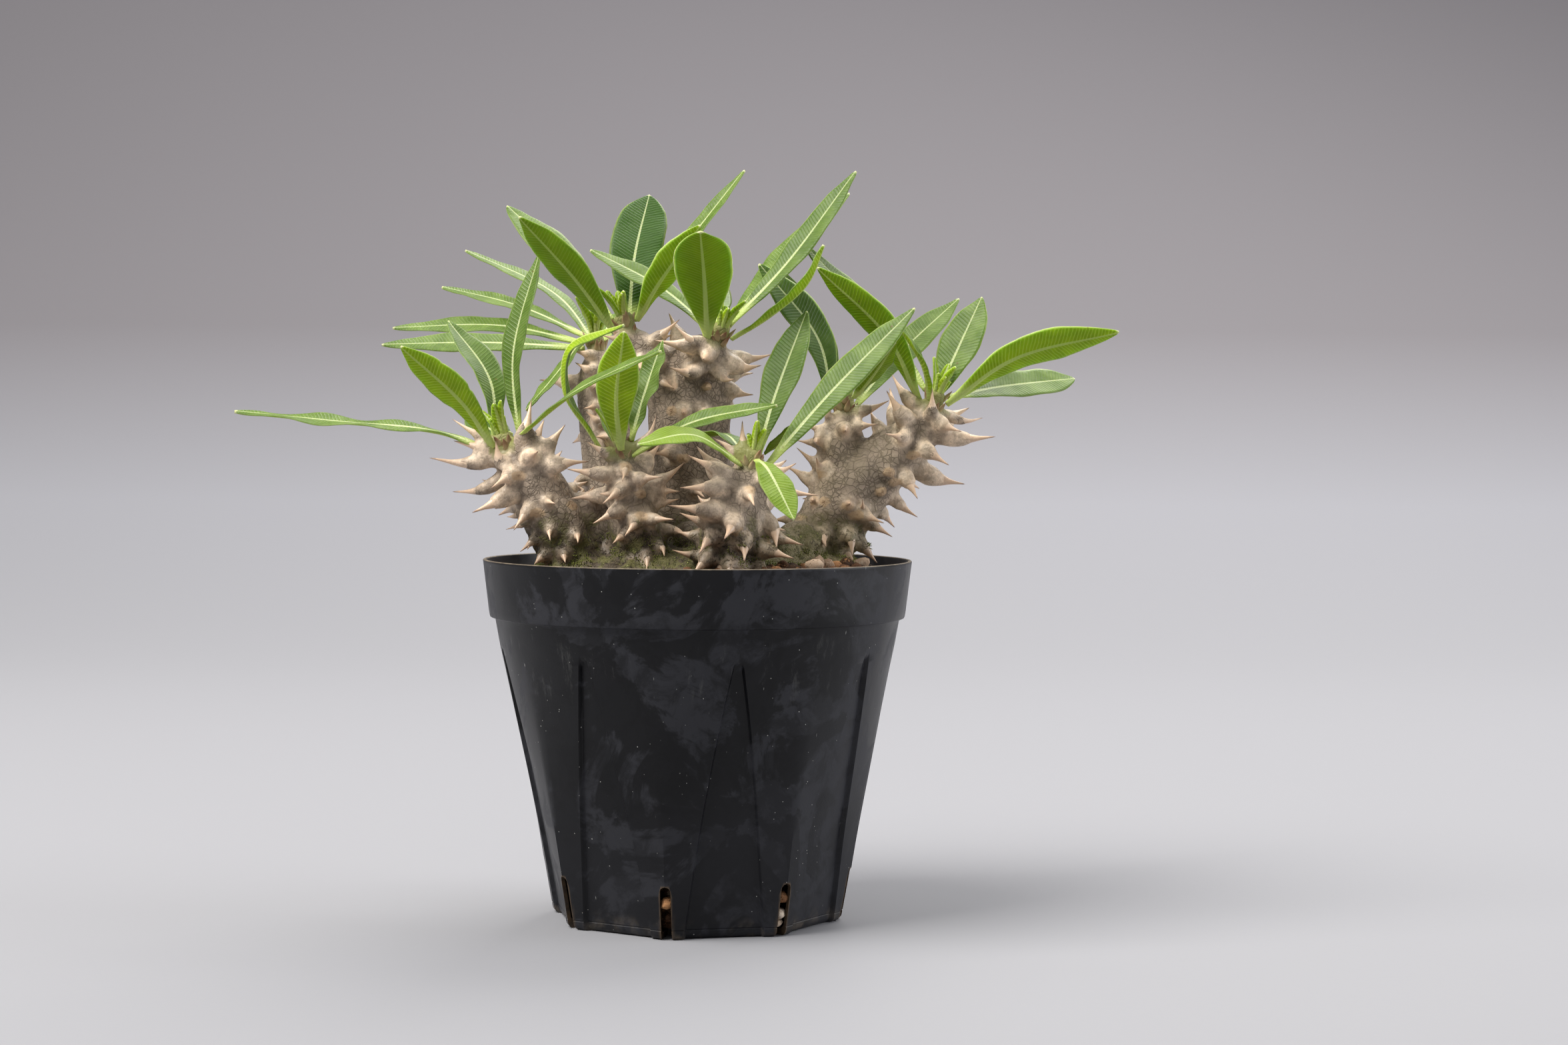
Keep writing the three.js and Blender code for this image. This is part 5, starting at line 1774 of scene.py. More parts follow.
@dataclass
class ThornLayout:
    """Places the thorns of a stem in pairs, each pair a turn of the golden angle on."""

    shortest: float = 4.4
    longest: float = 11.5
    sunk: float = 1.6
    nearest_axis: float = 0.6
    lowest_tilt: float = -20.0
    highest_tilt: float = 46.0
    hook: float = 2.0
    pair_spread: float = 21.0
    spread_play: float = 4.0
    turn_play: float = 9.0
    tilt_play: float = 12.0
    length_play: float = 0.3
    soil_clear: float = 74.2
    rim_height: float = 75.0
    rim_clear: float = 2.0
    reach: float = 41.0
    leaf_clear: float = 0.6
    foot_share: float = 0.17
    least_foot: float = 1.25
    spacing: float = 4.2
    facing_limit: float = -0.1
    seen_stems: tuple[str, ...] = ("left", "small", "front", "right", "right_fork")

    def pairs(self, stem: Stem) -> list[tuple[np.ndarray, np.ndarray, list[Thorn]]]:
        """The leaf scar, its outward direction and the two thorns, for each pair of a stem."""
        rule = stem.plan.thorns
        draw = repeatable(rule.seed)
        found = []
        for pair in range(rule.pairs):
            climb = pair / (rule.pairs - 1)
            part = lerp(rule.low, rule.high, climb)
            axis = stem.spine.tangent(part)
            first, second = square_to(axis)
            thorns = []
            for hand in (-1, 1):
                spread = self.pair_spread + self.spread_play * draw()
                turn = math.radians(pair * GOLDEN_ANGLE + hand * spread + self.turn_play * draw())
                outward = first * math.cos(turn) + second * math.sin(turn)
                tilt = lerp(self.lowest_tilt, self.highest_tilt, climb) + self.tilt_play * (draw() - 0.5)
                lean = math.radians(tilt)
                aim = unit(outward * math.cos(lean) + axis * math.sin(lean))
                play = 1 + self.length_play * (draw() - 0.5)
                length = lerp(self.shortest, self.longest, climb) * play + self.sunk
                depth = max(stem.radius(part) - self.sunk, self.nearest_axis)
                root = stem.spine.point(part) + outward * depth
                droop = UP * self.hook * (1 - climb)
                points = tuple(root + aim * length * share - droop * share**2 for share in (0, 0.5, 1))
                girth = max(length * self.foot_share, self.least_foot)
                thorns.append(Thorn(points, girth, self.tone(climb, play)))
            middle = math.radians(pair * GOLDEN_ANGLE + self.turn_play / 2)
            away = first * math.cos(middle) + second * math.sin(middle)
            scar = stem.spine.point(part) + away * stem.radius(part) + axis * 1.1
            found.append((scar, away, thorns))
        return found

    @staticmethod
    def tone(climb: float, play: float) -> float:
        """How dark a thorn's foot is: the low ones are darker."""
        return clamp(0.75 - climb) * 0.8 + 0.2 * (play - 0.85)

    def placed(self, stem: Stem) -> list[Thorn]:
        """The thorns of a stem that the photograph shows, from inside the stem out."""
        found = []
        for number, spike in enumerate(stem.spikes):
            root, tip = np.array(spike.root, float), np.array(spike.tip, float)
            part, away = stem.nearest(root)
            start = stem.spine.point(part) + away * max(stem.radius(part) - self.sunk, self.nearest_axis)
            middle = root + (tip - root) * 0.4 + away * 0.25
            play = 1 + self.length_play * (repeatable(number + 5)() - 0.5)
            found.append(Thorn((start, middle, tip), spike.girth, self.tone(part, play)))
        return found

    def behind(self, thorn: Thorn, stem: Stem) -> bool:
        """Whether a thorn of the rule stands where the photograph shows none of its own."""
        facing = thorn.tip[1] - thorn.root[1]
        if stem.plan.name in self.seen_stems and facing < self.facing_limit * thorn.girth:
            return False
        return all(np.linalg.norm(np.array(spike.root) - thorn.root) > self.spacing for spike in stem.spikes)

    def clear(self, thorn: Thorn, ribs: Sequence[tuple[np.ndarray, float]]) -> bool:
        """Whether a thorn meets no leaf and stays over the mix and inside the rim."""
        tip = thorn.tip
        if tip[2] < self.soil_clear:
            return False
        if tip[2] < self.rim_height + self.rim_clear and math.hypot(tip[0], tip[1]) > self.reach:
            return False
        line = tip - thorn.root
        for point, half in ribs:
            along = clamp(float((point - thorn.root) @ line) / float(line @ line))
            girth = thorn.girth * (0.4 if along > 0.55 else 1.1)
            if np.linalg.norm(thorn.root + line * along - point) <= half + girth + self.leaf_clear:
                return False
        return True


@dataclass
class WoodyBody:
    """The caudex mound and the stems, fused into one skin, with their thorns."""

    stems: dict[str, Stem]
    ribs: Sequence[tuple[np.ndarray, float]]
    layout: ThornLayout = field(default_factory=ThornLayout)
    mound: Mound = Mound()
    smoothing_passes: int = 4
    smoothing: float = 0.5
    hollow_gain: float = 9.0
    hollow_level: float = 0.3
    relief_fade: float = 6.0
    relief_off_horn: float = 0.8
    voxel: float = 0.56
    foot_profile: Profile = (
        (0.0, 1.9), (0.09, 1.62), (0.17, 1.36), (0.25, 1.22), (0.34, 1.18),
        (0.43, 1.08), (0.51, 0.92), (0.58, 0.73), (0.64, 0.53),
    )

    def __post_init__(self) -> None:
        """Chooses the thorns that stand clear."""
        self.scars: list[tuple[np.ndarray, np.ndarray]] = []
        self.thorns: list[Thorn] = []
        for stem in self.stems.values():
            for scar, away, pair in self.layout.pairs(stem):
                kept = [
                    thorn
                    for thorn in pair
                    if self.layout.clear(thorn, self.ribs) and self.layout.behind(thorn, stem)
                ]
                self.thorns += kept
                if len(kept) == 2:
                    self.scars.append((scar, away))
            self.thorns += self.layout.placed(stem)
            for scar in stem.leaf_scars:
                place = np.array(scar.middle, float)
                self.scars.append((place, stem.nearest(place)[1]))

    @staticmethod
    def ball(swelling: Swelling) -> tuple[np.ndarray, list]:
        """A swelling as one closed form."""
        sides = 20
        rings = []
        for step in range(1, 12):
            rise = -math.cos(step / 12 * math.pi)
            out = math.sqrt(1 - rise * rise) * swelling.radius
            turns = [side / sides * 2 * math.pi for side in range(sides)]
            ring = [(out * math.cos(turn), out * math.sin(turn), rise * swelling.radius) for turn in turns]
            rings.append(np.array(ring) + np.array(swelling.middle))
        return closed_tube(rings)

    def horn_mark(self, points: np.ndarray) -> np.ndarray:
        """How far up a thorn's foot each point lies, the thorn's shade, and how surely it is foot."""
        marks = np.zeros((len(points), 3))
        lengths, widths = zip(*self.foot_profile)
        for thorn in self.thorns:
            line = thorn.tip - thorn.root
            long = float(np.linalg.norm(line))
            near = np.nonzero(np.linalg.norm(points - thorn.root, axis=1) < long * 0.8)[0]
            offset = points[near] - thorn.root
            along = offset @ line / long**2
            off = np.linalg.norm(offset - np.outer(along, line), axis=1)
            reach = np.interp(along, lengths, widths) * thorn.girth
            inside = np.clip((1.75 - off / reach) / 0.6, 0, 1)
            sure = inside * np.clip((along - 0.1) / 0.16, 0, 1) * (along < 0.8)
            better = sure > marks[near, 2]
            marks[near[better]] = np.stack([along, np.full_like(along, thorn.tone), sure], axis=1)[better]
        return marks

    def fused(self) -> bpy.types.Mesh:
        """The mound, the stems and the thorns' feet in one skin."""
        skin = Skin()
        skin.add(*self.mound.form())
        for stem in self.stems.values():
            skin.add(*stem.form())
        for stem in self.stems.values():
            for scar in stem.leaf_scars:
                skin.add(*self.ball(scar))
        for knob in KNOBS:
            skin.add(*self.ball(knob))
        for thorn in self.thorns:
            flare = lerp(0.62, 1.0, clamp(thorn.tone / 0.5))
            profile = tuple(
                (part, width * lerp(flare, 1.0, clamp(part / 0.3))) for part, width in self.foot_profile
            )
            skin.add(*closed_tube(thorn.tube(profile, 14, 0.0)))
        blank = linked("fuse", skin.mesh("fuse"))
        fuse = blank.modifiers.new("fuse", "REMESH")
        fuse.mode = "VOXEL"
        fuse.voxel_size = self.voxel * MM
        return settled(blank)

    def scar_mark(self, points: np.ndarray) -> np.ndarray:
        """Distance of each point from the nearest leaf scar, squeezed to an oval."""
        nearest = np.full(len(points), 9.0)
        for scar, away in self.scars:
            offset = points - scar
            near = np.nonzero(np.einsum("ij,ij->i", offset, offset) < 9)[0]
            rise = offset[near, 2] / 0.85
            level = offset[near] - np.outer(offset[near] @ away, away)
            sideways = np.hypot(level[:, 0], level[:, 1]) / 1.15
            nearest[near] = np.minimum(nearest[near], np.hypot(rise, sideways))
        return nearest

    def crown_mark(self, points: np.ndarray) -> np.ndarray:
        """How far up its bud each point lies, from 0 to 1."""
        crown = np.zeros(len(points))
        for stem in self.stems.values():
            offset = points - stem.place
            along = offset @ stem.axis
            off = np.linalg.norm(offset - np.outer(along, stem.axis), axis=1)
            rise = np.clip((along + 0.6) / 2.2, 0, 1) * (off < 4) * (along < 7)
            crown = np.maximum(crown, rise)
        return crown

    def build_body(self, finish: Bark) -> bpy.types.Object:
        """Makes the fused skin and works its surface.

        Args:
            finish: The bark.

        Returns:
            The caudex and stems.
        """
        mesh = self.fused()
        points = mesh_points(mesh)
        edges = read_rows(mesh.edges, "vertices", 2, np.int32)
        for _ in range(self.smoothing_passes):
            points += self.smoothing * (neighbour_mean(points, edges) - points)
        flat = neighbour_mean(neighbour_mean(points, edges), edges)
        move_points(mesh, points)
        mesh.update()
        normals = read_rows(mesh.vertices, "normal", 3)
        sunk = np.einsum("ij,ij->i", flat - points, normals)
        # How hollow the skin is: the bark paints shade into the hollows with it, and the moss favours them.
        hollow = np.clip(sunk * self.hollow_gain + self.hollow_level, 0, 1)
        lumps = np.array([self.bark_relief(Vector(tuple(point))) for point in points])
        risen = points[:, 2] - self.mound.foot - self.relief_fade
        horn = self.horn_mark(points)
        lumps *= np.clip(risen / self.relief_fade, 0, 1) * (1 - self.relief_off_horn * horn[:, 2])
        points += normals * lumps[:, None]
        move_points(mesh, points)
        write_mark(mesh, "hollow", hollow)
        write_mark(mesh, "thorn", horn)
        write_mark(mesh, "scar", self.scar_mark(points))
        write_mark(mesh, "crown", self.crown_mark(points))
        dress = Dress(finish.build(), "bark", ("caudex_and_stems",), SMOOTH)
        return place_mesh("caudex_and_stems_bark", mesh, dress)

    @staticmethod
    def bark_relief(point: Vector) -> float:
        """How far the bark stands out at a point."""
        broad = noise.noise(point / 5.5) * 0.34
        wrinkle = noise.noise(Vector((point.x / 2.4, point.y / 2.4, point.z / 1.1))) * 0.13
        rough = noise.noise(point / 1.3) * 0.5 + noise.noise(point / 3.1) * 0.6
        return broad + wrinkle - 0.08 + rough * (1 - smooth(point.z, 78, 84))

    def build_thorns(self, finish: ThornHorn) -> bpy.types.Object:
        """Makes all the thorns, each a swollen foot that narrows to a needle.

        Args:
            finish: The thorns' horn.

        Returns:
            The thorns, as one piece.
        """
        profile = (
            (0.25, 0.5), (0.36, 0.68), (0.45, 0.74), (0.52, 0.68), (0.58, 0.57), (0.64, 0.45),
            (0.7, 0.34), (0.76, 0.25), (0.83, 0.18), (0.9, 0.12), (0.96, 0.07),
        )
        skin = Skin()
        for thorn in self.thorns:
            skin.add_spire(thorn, profile, 12, 0.14)
        return skin.place("thorns", Dress(finish.build(), "bark", (), SMOOTH))


# The leaves


class BladeForm(Enum):
    """How a blade ends."""

    POINTED = 1.9
    SPOON = 3.4


@dataclass(frozen=True)
class LeafPlan:
    """A leaf: the points its midrib passes, its width, how it is set, and how much painted shade and painted
    glow of lit-through light its colour takes.
    """

    path: tuple[Point, ...]
    width: float
    face: Point | None = None
    start: float = 0.0
    fold: float = 5.0
    wave: float = 0.15
    roll: float = 0.0
    form: BladeForm = BladeForm.POINTED
    # Painted shade: how far the leaf's colour is darkened as if it stood in shadow.
    shade: float = 0.0
    # Painted light: how far the upper face takes the underside's lit-through colour.
    underside_glow: float = 0.0
    nicks: tuple[tuple[float, int, float], ...] = ()


LEAVES = {
    "left": (
        LeafPlan(
            ((-52, -12, 101), (-76, -10, 103.4), (-95.4, -8, 105.2)), 6.5, face=(0.1, -0.3, 1), wave=0.5,
        ),
        LeafPlan(
            ((-47.4, -17.6, 107), (-59.4, -24, 118.4)), 8, face=(0.45, 0.85, 0.2), start=-20,
            nicks=((0.46, -1, 1.1), (0.27, -1, 0.8), (0.72, -1, 0.4)),
        ),
        LeafPlan(
            ((-43.4, -4, 112), (-53, 6, 124.6)), 7.6, face=(0.5, -0.7, 0.5), start=45, fold=12, shade=0.3,
        ),
        LeafPlan(((-38, -9, 117), (-33, -4, 138.4)), 7, face=(-0.7, -0.7, 0.1), fold=10, shade=0.15),
        LeafPlan(((-24, -27, 109.6), (-7, -36.6, 117.4)), 6.6, face=(-0.2, -0.4, 0.9), fold=8),
        LeafPlan(((-42.6, -2, 101.4), (-49, 7, 105)), 7.4, start=-40, shade=0.4),
    ),
    "small": (
        LeafPlan(
            ((-21.8, -17, 101.4), (-27, -17, 109.6), (-26, -19, 118.6), (-14.8, -21.6, 123)), 5.8, fold=16,
            roll=-16, shade=0.25,
        ),
        LeafPlan(((-16.4, -22, 108), (-14.7, -26.4, 121.6)), 8.6, face=(0, 0.9, 0.4)),
        LeafPlan(((-11.6, -12.6, 107), (-7.4, -8, 120.4)), 6.4, face=(-0.6, -0.8, 0.2), fold=16, wave=0.6),
        LeafPlan(((-1, -21.4, 103.4), (16, -25.4, 107)), 5.4, face=(-0.1, -0.6, 0.8), fold=10),
        LeafPlan(((-17, -8, 102.6), (-18.4, 0, 110)), 6.2, shade=0.4),
    ),
    "front": (
        LeafPlan(((-0.6, -34, 100.8), (-11.4, -43, 99)), 7, face=(-0.1, -0.6, 0.75), underside_glow=0.35),
        LeafPlan(((14, -32.4, 94.2), (19, -42, 84.6)), 6.8, face=(0.2, -0.7, 0.7), underside_glow=0.25),
        LeafPlan(((15.4, -18.6, 108), (22.2, -13, 126.4)), 8.8, face=(-0.5, -0.85, 0.2), fold=8, shade=0.3),
        LeafPlan(((26.6, -22, 109.4), (44, -17, 127)), 8, face=(-0.45, -0.8, 0.4)),
        LeafPlan(((5.6, -13, 101), (-1, -5, 100.6)), 6, shade=0.4),
    ),
    "tall_fork": (
        LeafPlan(((-25.4, -7, 133), (-36.6, -14, 145.2)), 9.6, face=(0.5, 0.75, 0.4), shade=0.45),
        LeafPlan(
            ((-8.6, -6, 132), (0.2, -10, 144)), 7.4, face=(-0.5, 0.85, 0.1), start=20, fold=14, shade=0.2,
        ),
        LeafPlan(((-29, 9, 138), (-41.8, 20, 150)), 9.8, face=(0.5, -0.75, 0.4), start=16),
        LeafPlan(
            ((-14, 10, 138), (-11.2, 22, 152.8)), 11.4, face=(0, -0.9, 0.4), start=14, form=BladeForm.SPOON,
            shade=1.0,
        ),
        LeafPlan(((-4.6, 10, 139), (9.4, 19, 158)), 5.4, fold=12, roll=10),
    ),
    "tall": (
        LeafPlan(
            ((1.2, -13.6, 132), (0.4, -26, 141.6)), 12, face=(0, 0.9, 0.4), form=BladeForm.SPOON,
            shade=0.42,
        ),
        LeafPlan(
            ((14.6, -11, 125.6), (22, -14.6, 132), (25.4, -16, 139.8)), 6.4, face=(-0.7, 0.2, 0.7), fold=14,
        ),
        LeafPlan(
            ((18.4, 0, 137), (32.8, 4, 156.6)), 7, face=(-0.55, -0.7, 0.4), start=14, fold=6, shade=0.2,
        ),
        LeafPlan(((16, 10, 137), (32.2, 23, 153.6)), 8.4, face=(-0.6, -0.6, 0.5), start=12),
        LeafPlan(((-8, 0.6, 131.6), (-23, 3.4, 139.6)), 7, face=(0.4, -0.6, 0.7)),
        LeafPlan(((3, 14, 131), (-2, 30, 144)), 8.4, start=10),
    ),
    "right_fork": (
        LeafPlan(
            ((25, 3.4, 121), (12.4, 3.6, 137)), 9, face=(0.5, -0.85, 0.3), start=24, fold=8, shade=0.6,
        ),
        LeafPlan(((26.6, 8, 119.4), (17.4, 12, 136)), 7.6, face=(0.6, -0.7, 0.3), start=-20, fold=10),
        LeafPlan(((35.6, -3, 113), (40.6, -8, 120.4)), 7.4, face=(-0.5, 0.6, 0.6), shade=0.5),
        LeafPlan(((42, 16, 117.6), (56.4, 25, 131)), 9.6, face=(-0.5, -0.7, 0.5)),
        LeafPlan(((23, 9, 104), (14, 17, 97)), 6.6, start=20, shade=0.4),
    ),
    "right": (
        LeafPlan(
            ((39.4, -4, 121.6), (24.4, -7, 135.8)), 8.2, face=(0.55, 0.75, 0.4), start=-24, fold=8,
            shade=0.45,
        ),
        LeafPlan(((46.4, -7.6, 115.6), (41, -9.4, 124)), 4.4, face=(0.6, -0.2, 0.7), start=10, fold=18),
        LeafPlan(((39.4, 9, 123), (22.4, 19, 142)), 7.4, face=(0.5, -0.7, 0.5)),
        LeafPlan(((54, 4.6, 118), (60, 9, 130.6)), 10, face=(-0.5, -0.8, 0.3), start=16),
        LeafPlan(((65.6, -6, 117.4), (86.6, -10, 122.8)), 8.8, face=(-0.15, 0.75, 0.6), start=-10, fold=8),
        LeafPlan(
            ((64.4, 10, 111.6), (81.2, 20, 113.6)), 8.4, face=(-0.1, -0.75, 0.65), start=-22,
            form=BladeForm.SPOON,
        ),
    ),
    "back": (
        LeafPlan(((-46, 22.6, 120.6), (-68.8, 21, 120)), 7.2, face=(0, -0.6, 0.8), start=10),
        LeafPlan(((-44, 30.6, 124.6), (-67.6, 31, 124)), 7, face=(0, -0.52, 0.85)),
        LeafPlan(((-40, 34, 129), (-57.6, 38, 133.4)), 7, face=(0.2, -0.4, 0.9), start=-30),
        LeafPlan(((-32, 38, 131.6), (-53, 44.4, 142)), 6.4, face=(0.4, -0.4, 0.8), start=-40),
        LeafPlan(((-20, 38, 126), (-15, 50, 129)), 8, start=-26),
        LeafPlan(((-31, 18, 113.6), (-37, 13, 106)), 6, start=8),
    ),
}


@dataclass
class Blade:
    """One leaf, laid along its midrib."""

    plan: LeafPlan
    stem: Stem
    order: int
    seed: float
    stations: int = 56
    lanes: int = 9
    stalk_width: float = 1.5
    widest_at: float = 0.6
    swell: float = 1.5
    tip_width: float = 0.7
    full_wave_half: float = 2.0
    rolled_by: float = 0.33
    wave_turns: float = 21.0
    rib_at_stalk: float = 0.62
    rib_at_tip: float = 0.14
    ridge: float = 0.3
    margin_half: float = 0.13
    fuller_middle: float = 0.12
    crinkle: float = 0.12
    stalk_above: float = 0.28
    stalk_below: float = 0.52

    def __post_init__(self) -> None:
        """Lays the midrib from beside the bud to the tip."""
        stem, bud = self.stem, self.stem.bud
        lean = np.array(self.plan.path[0], float) - stem.place
        along_axis = float(lean @ stem.axis)
        self.outward = unit(lean - stem.axis * along_axis)
        side = turned(self.outward, stem.axis, self.plan.start)
        steepness = clamp(along_axis / float(np.linalg.norm(lean)))
        start = stem.place + stem.axis * (bud.leaf_start + bud.leaf_rise * (self.order % bud.levels))
        start = start + side * (bud.radius * (1 + stem.oval + stem.ribs) + GAP + 0.5 * steepness)
        self.spine = Spine([tuple(start), *self.plan.path])

    def half_width(self, share: float) -> float:
        """Half the blade's width at a share of its length."""
        if share < self.widest_at:
            swell = math.sin(share / self.widest_at * math.pi / 2) ** self.swell
            return lerp(self.stalk_width, self.plan.width, swell) / 2
        fall = (share - self.widest_at) / (1 - self.widest_at)
        return lerp(self.tip_width, self.plan.width, 1 - fall**self.plan.form.value) / 2

    def frames(self, shares: Sequence[float]) -> list[tuple[np.ndarray, np.ndarray, np.ndarray]]:
        """The midrib's point, the direction across and the upper face's direction at each share."""
        found = []
        upper = None if self.plan.face is None else np.array(self.plan.face, float)
        for share in shares:
            part = self.spine.part_of_length(share)
            along = self.spine.tangent(part)
            if upper is None:
                upper = self.stem.axis * float(along @ self.outward)
                upper = upper - self.outward * float(along @ self.stem.axis)
            face = unit(upper - along * float(upper @ along))
            if self.plan.face is None:
                upper = face
            face = turned(face, along, self.plan.roll * min(share / self.rolled_by, 1))
            found.append((self.spine.point(part), np.cross(along, face), face))
        return found

    def ribs(self) -> list[tuple[np.ndarray, float]]:
        """Points up the midrib, each with half the width there, for keeping thorns clear."""
        shares = [step / 7 for step in range(8)]
        return [(frame[0], self.half_width(share)) for frame, share in zip(self.frames(shares), shares)]

    def lane_places(self) -> np.ndarray:
        """Places across the blade from -1 to 1, closer together near the midrib and the margin."""
        half = np.linspace(0, 1, self.lanes + 1)[1:]
        bent = half**1.25
        return np.concatenate([-bent[::-1], [0.0], bent])

    def edge_scale(self, share: float, hand: float) -> float:
        """Small unevenness of the margin, with its nicks and its rounded tip."""
        uneven = 1 + 0.03 * noise.noise(Vector((share * 9, hand * 3, self.seed)))
        uneven += 0.012 * noise.noise(Vector((share * 46, hand * 7, self.seed)))
        for place, side, depth in self.plan.nicks:
            if side * hand > 0:
                uneven -= depth / self.plan.width * math.exp(-(((share - place) / 0.012) ** 2))
        end = math.sqrt(clamp((1.002 - share) / 0.02))
        return uneven * end

    def form(self) -> tuple[np.ndarray, list, dict[str, np.ndarray]]:
        """The blade's points, faces and marks."""
        shares = [clamp(step / (self.stations - 1)) for step in range(self.stations)]
        shares = [share - 0.012 * math.sin(share * 2 * math.pi) for share in shares]
        lanes = self.lane_places()
        points, place, spread = [], [], []
        length = self.spine.length
        for share, (middle, across, face) in zip(shares, self.frames(shares)):
            half = self.half_width(share)
            lift = math.tan(math.radians(self.plan.fold)) * half
            wave = self.plan.wave * min(half / self.full_wave_half, 1) * math.sin(share * self.wave_turns)
            stalk = 1 - smooth(share, 0.06, 0.26)
            rib = lerp(self.rib_at_stalk, self.rib_at_tip, share) * (1 + 0.4 * stalk)
            for top in (1, 0):
                for lane in lanes if top else lanes[-2:0:-1]:
                    reach = half * lane * self.edge_scale(share, float(np.sign(lane)))
                    rise = lift * abs(lane) ** 1.3 + wave * lane
                    crinkle = noise.noise(Vector((share * 14, lane * 2, self.seed + 3)))
                    rise += self.crinkle * crinkle * abs(lane)
                    leafy = self.margin_half + self.fuller_middle * (1 - lane * lane)
                    ridge = self.ridge * math.exp(-((reach / rib) ** 2)) * (1 - 0.7 * share)
                    blade = leafy - 0.25 * ridge if top else leafy + ridge
                    stalk_half = self.stalk_above if top else self.stalk_below
                    round_stalk = stalk_half * math.sqrt(max(1 - lane * lane, 0.0))
                    thick = lerp(blade, round_stalk, stalk) if abs(lane) < 0.999 else 0.0
                    offset = rise + (thick if top else -thick)
                    points.append(middle + across * reach + face * offset)
                    place.append((share * length, reach, top))
                    spread.append((share, lane, stalk))
        ring = 2 * len(lanes) - 2
        first = np.mean(points[:ring], axis=0) - self.stem.axis * 0.2
        last = np.mean(points[-ring:], axis=0)
        points += [first, last]
        place += [(0.0, 0.0, 0.5), (length, 0.0, 0.5)]
        spread += [(0.0, 0.0, 1.0), (1.0, 0.0, 0.0)]
        # Each point carries the leaf's painted shade, its painted glow and its seed.
        tone = np.tile([self.plan.shade, self.plan.underside_glow, self.seed % 17], (len(points), 1))
        marks = {"blade_place": np.array(place), "blade_share": np.array(spread), "blade_tone": tone}
        return np.array(points), tube_faces(self.stations, ring), marks

    def build(self, material: bpy.types.Material) -> bpy.types.Object:
        """Makes the leaf in place of its solid."""
        node = f"leaf_{self.stem.plan.name}_{self.order + 1}"
        skin = Skin()
        skin.add(*self.form())
        return skin.place(f"{node}_blade", Dress(material, "leaf", (node,), SMOOTH))


@dataclass
class Foliage:
    """All the leaves, the new leaflets in the heads and the scales between the stalks."""

    stems: dict[str, Stem]
    blades: list[Blade] = field(default_factory=list)
    leaflets: int = 6
    scales: int = 11

    def __post_init__(self) -> None:
        """Numbers the leaves of each head in order."""
        for head, plans in LEAVES.items():
            for order, plan in enumerate(plans):
                seed = 2.7 * len(self.blades) + 1.3
                self.blades.append(Blade(plan, self.stems[head], order, seed))

    def ribs(self) -> list[tuple[np.ndarray, float]]:
        """Points up all the midribs, with half the width there."""
        return [rib for blade in self.blades for rib in blade.ribs()]

    def build_leaves(self, finish: LeafBlade) -> bpy.types.Material:
        """Makes the leaves, which share one material that is returned."""
        material = finish.build()
        for blade in self.blades:
            blade.build(material)
        return material

    def build_leaflets(self, material: bpy.types.Material) -> bpy.types.Object:
        """Makes the small new leaves that stand in the middle of each head."""
        rng = random.Random(19)
        skin = Skin()
        for stem in self.stems.values():
            first, second = square_to(stem.axis)
            top = stem.place + stem.axis * (stem.bud.height - 1.2)
            for number in range(self.leaflets):
                turn = math.radians(number * GOLDEN_ANGLE + rng.uniform(-15, 15) + 40)
                out = first * math.cos(turn) + second * math.sin(turn)
                tall = rng.uniform(3.2, 8.5)
                lean = rng.uniform(0.12, 0.5)
                middle = top + stem.axis * tall * 0.5 + out * (0.9 + tall * lean * 0.35)
                tip = top + stem.axis * tall + out * (0.9 + tall * lean)
                plan = LeafPlan(
                    (tuple(middle), tuple(tip)),
                    rng.uniform(1.6, 2.4),
                    face=tuple(stem.axis * 0.3 - out),
                    fold=24,
                    # The new leaflets take most of the underside's lit-through colour, a painted glow.
                    underside_glow=0.7,
                )
                leaflet = Blade(plan, stem, 0, rng.random() * 40, stations=18, lanes=3, stalk_width=1.0)
                leaflet.spine = Spine([tuple(top + out * 0.7), tuple(middle), tuple(tip)])
                skin.add(*leaflet.form())
        return skin.place("new_leaflets", Dress(material, "leaf", (), SMOOTH))

    def build_scales(self, finish: BudScale) -> bpy.types.Object:
        """Makes the dry scales that sit between the stalks."""
        rng = random.Random(29)
        skin = Skin()
        profile = ((0.0, 0.5), (0.25, 0.55), (0.5, 0.42), (0.75, 0.24), (0.92, 0.09))
        for stem in self.stems.values():
            first, second = square_to(stem.axis)
            for number in range(self.scales):
                turn = math.radians(number * GOLDEN_ANGLE + rng.uniform(-12, 12))
                out = first * math.cos(turn) + second * math.sin(turn)
                root = stem.place + stem.axis * (rng.uniform(-0.6, 2.6)) + out * stem.bud.radius * 0.8
                aim = unit(out * 0.55 + stem.axis)
                tall = rng.uniform(2.0, 3.4)
                points = (root, root + aim * tall / 2, root + aim * tall)
                skin.add_spire(Thorn(points, 1.4, rng.random()), profile, 8, 0.2, out)
        return skin.place("bud_scales", Dress(finish.build(), "bark", (), SMOOTH))


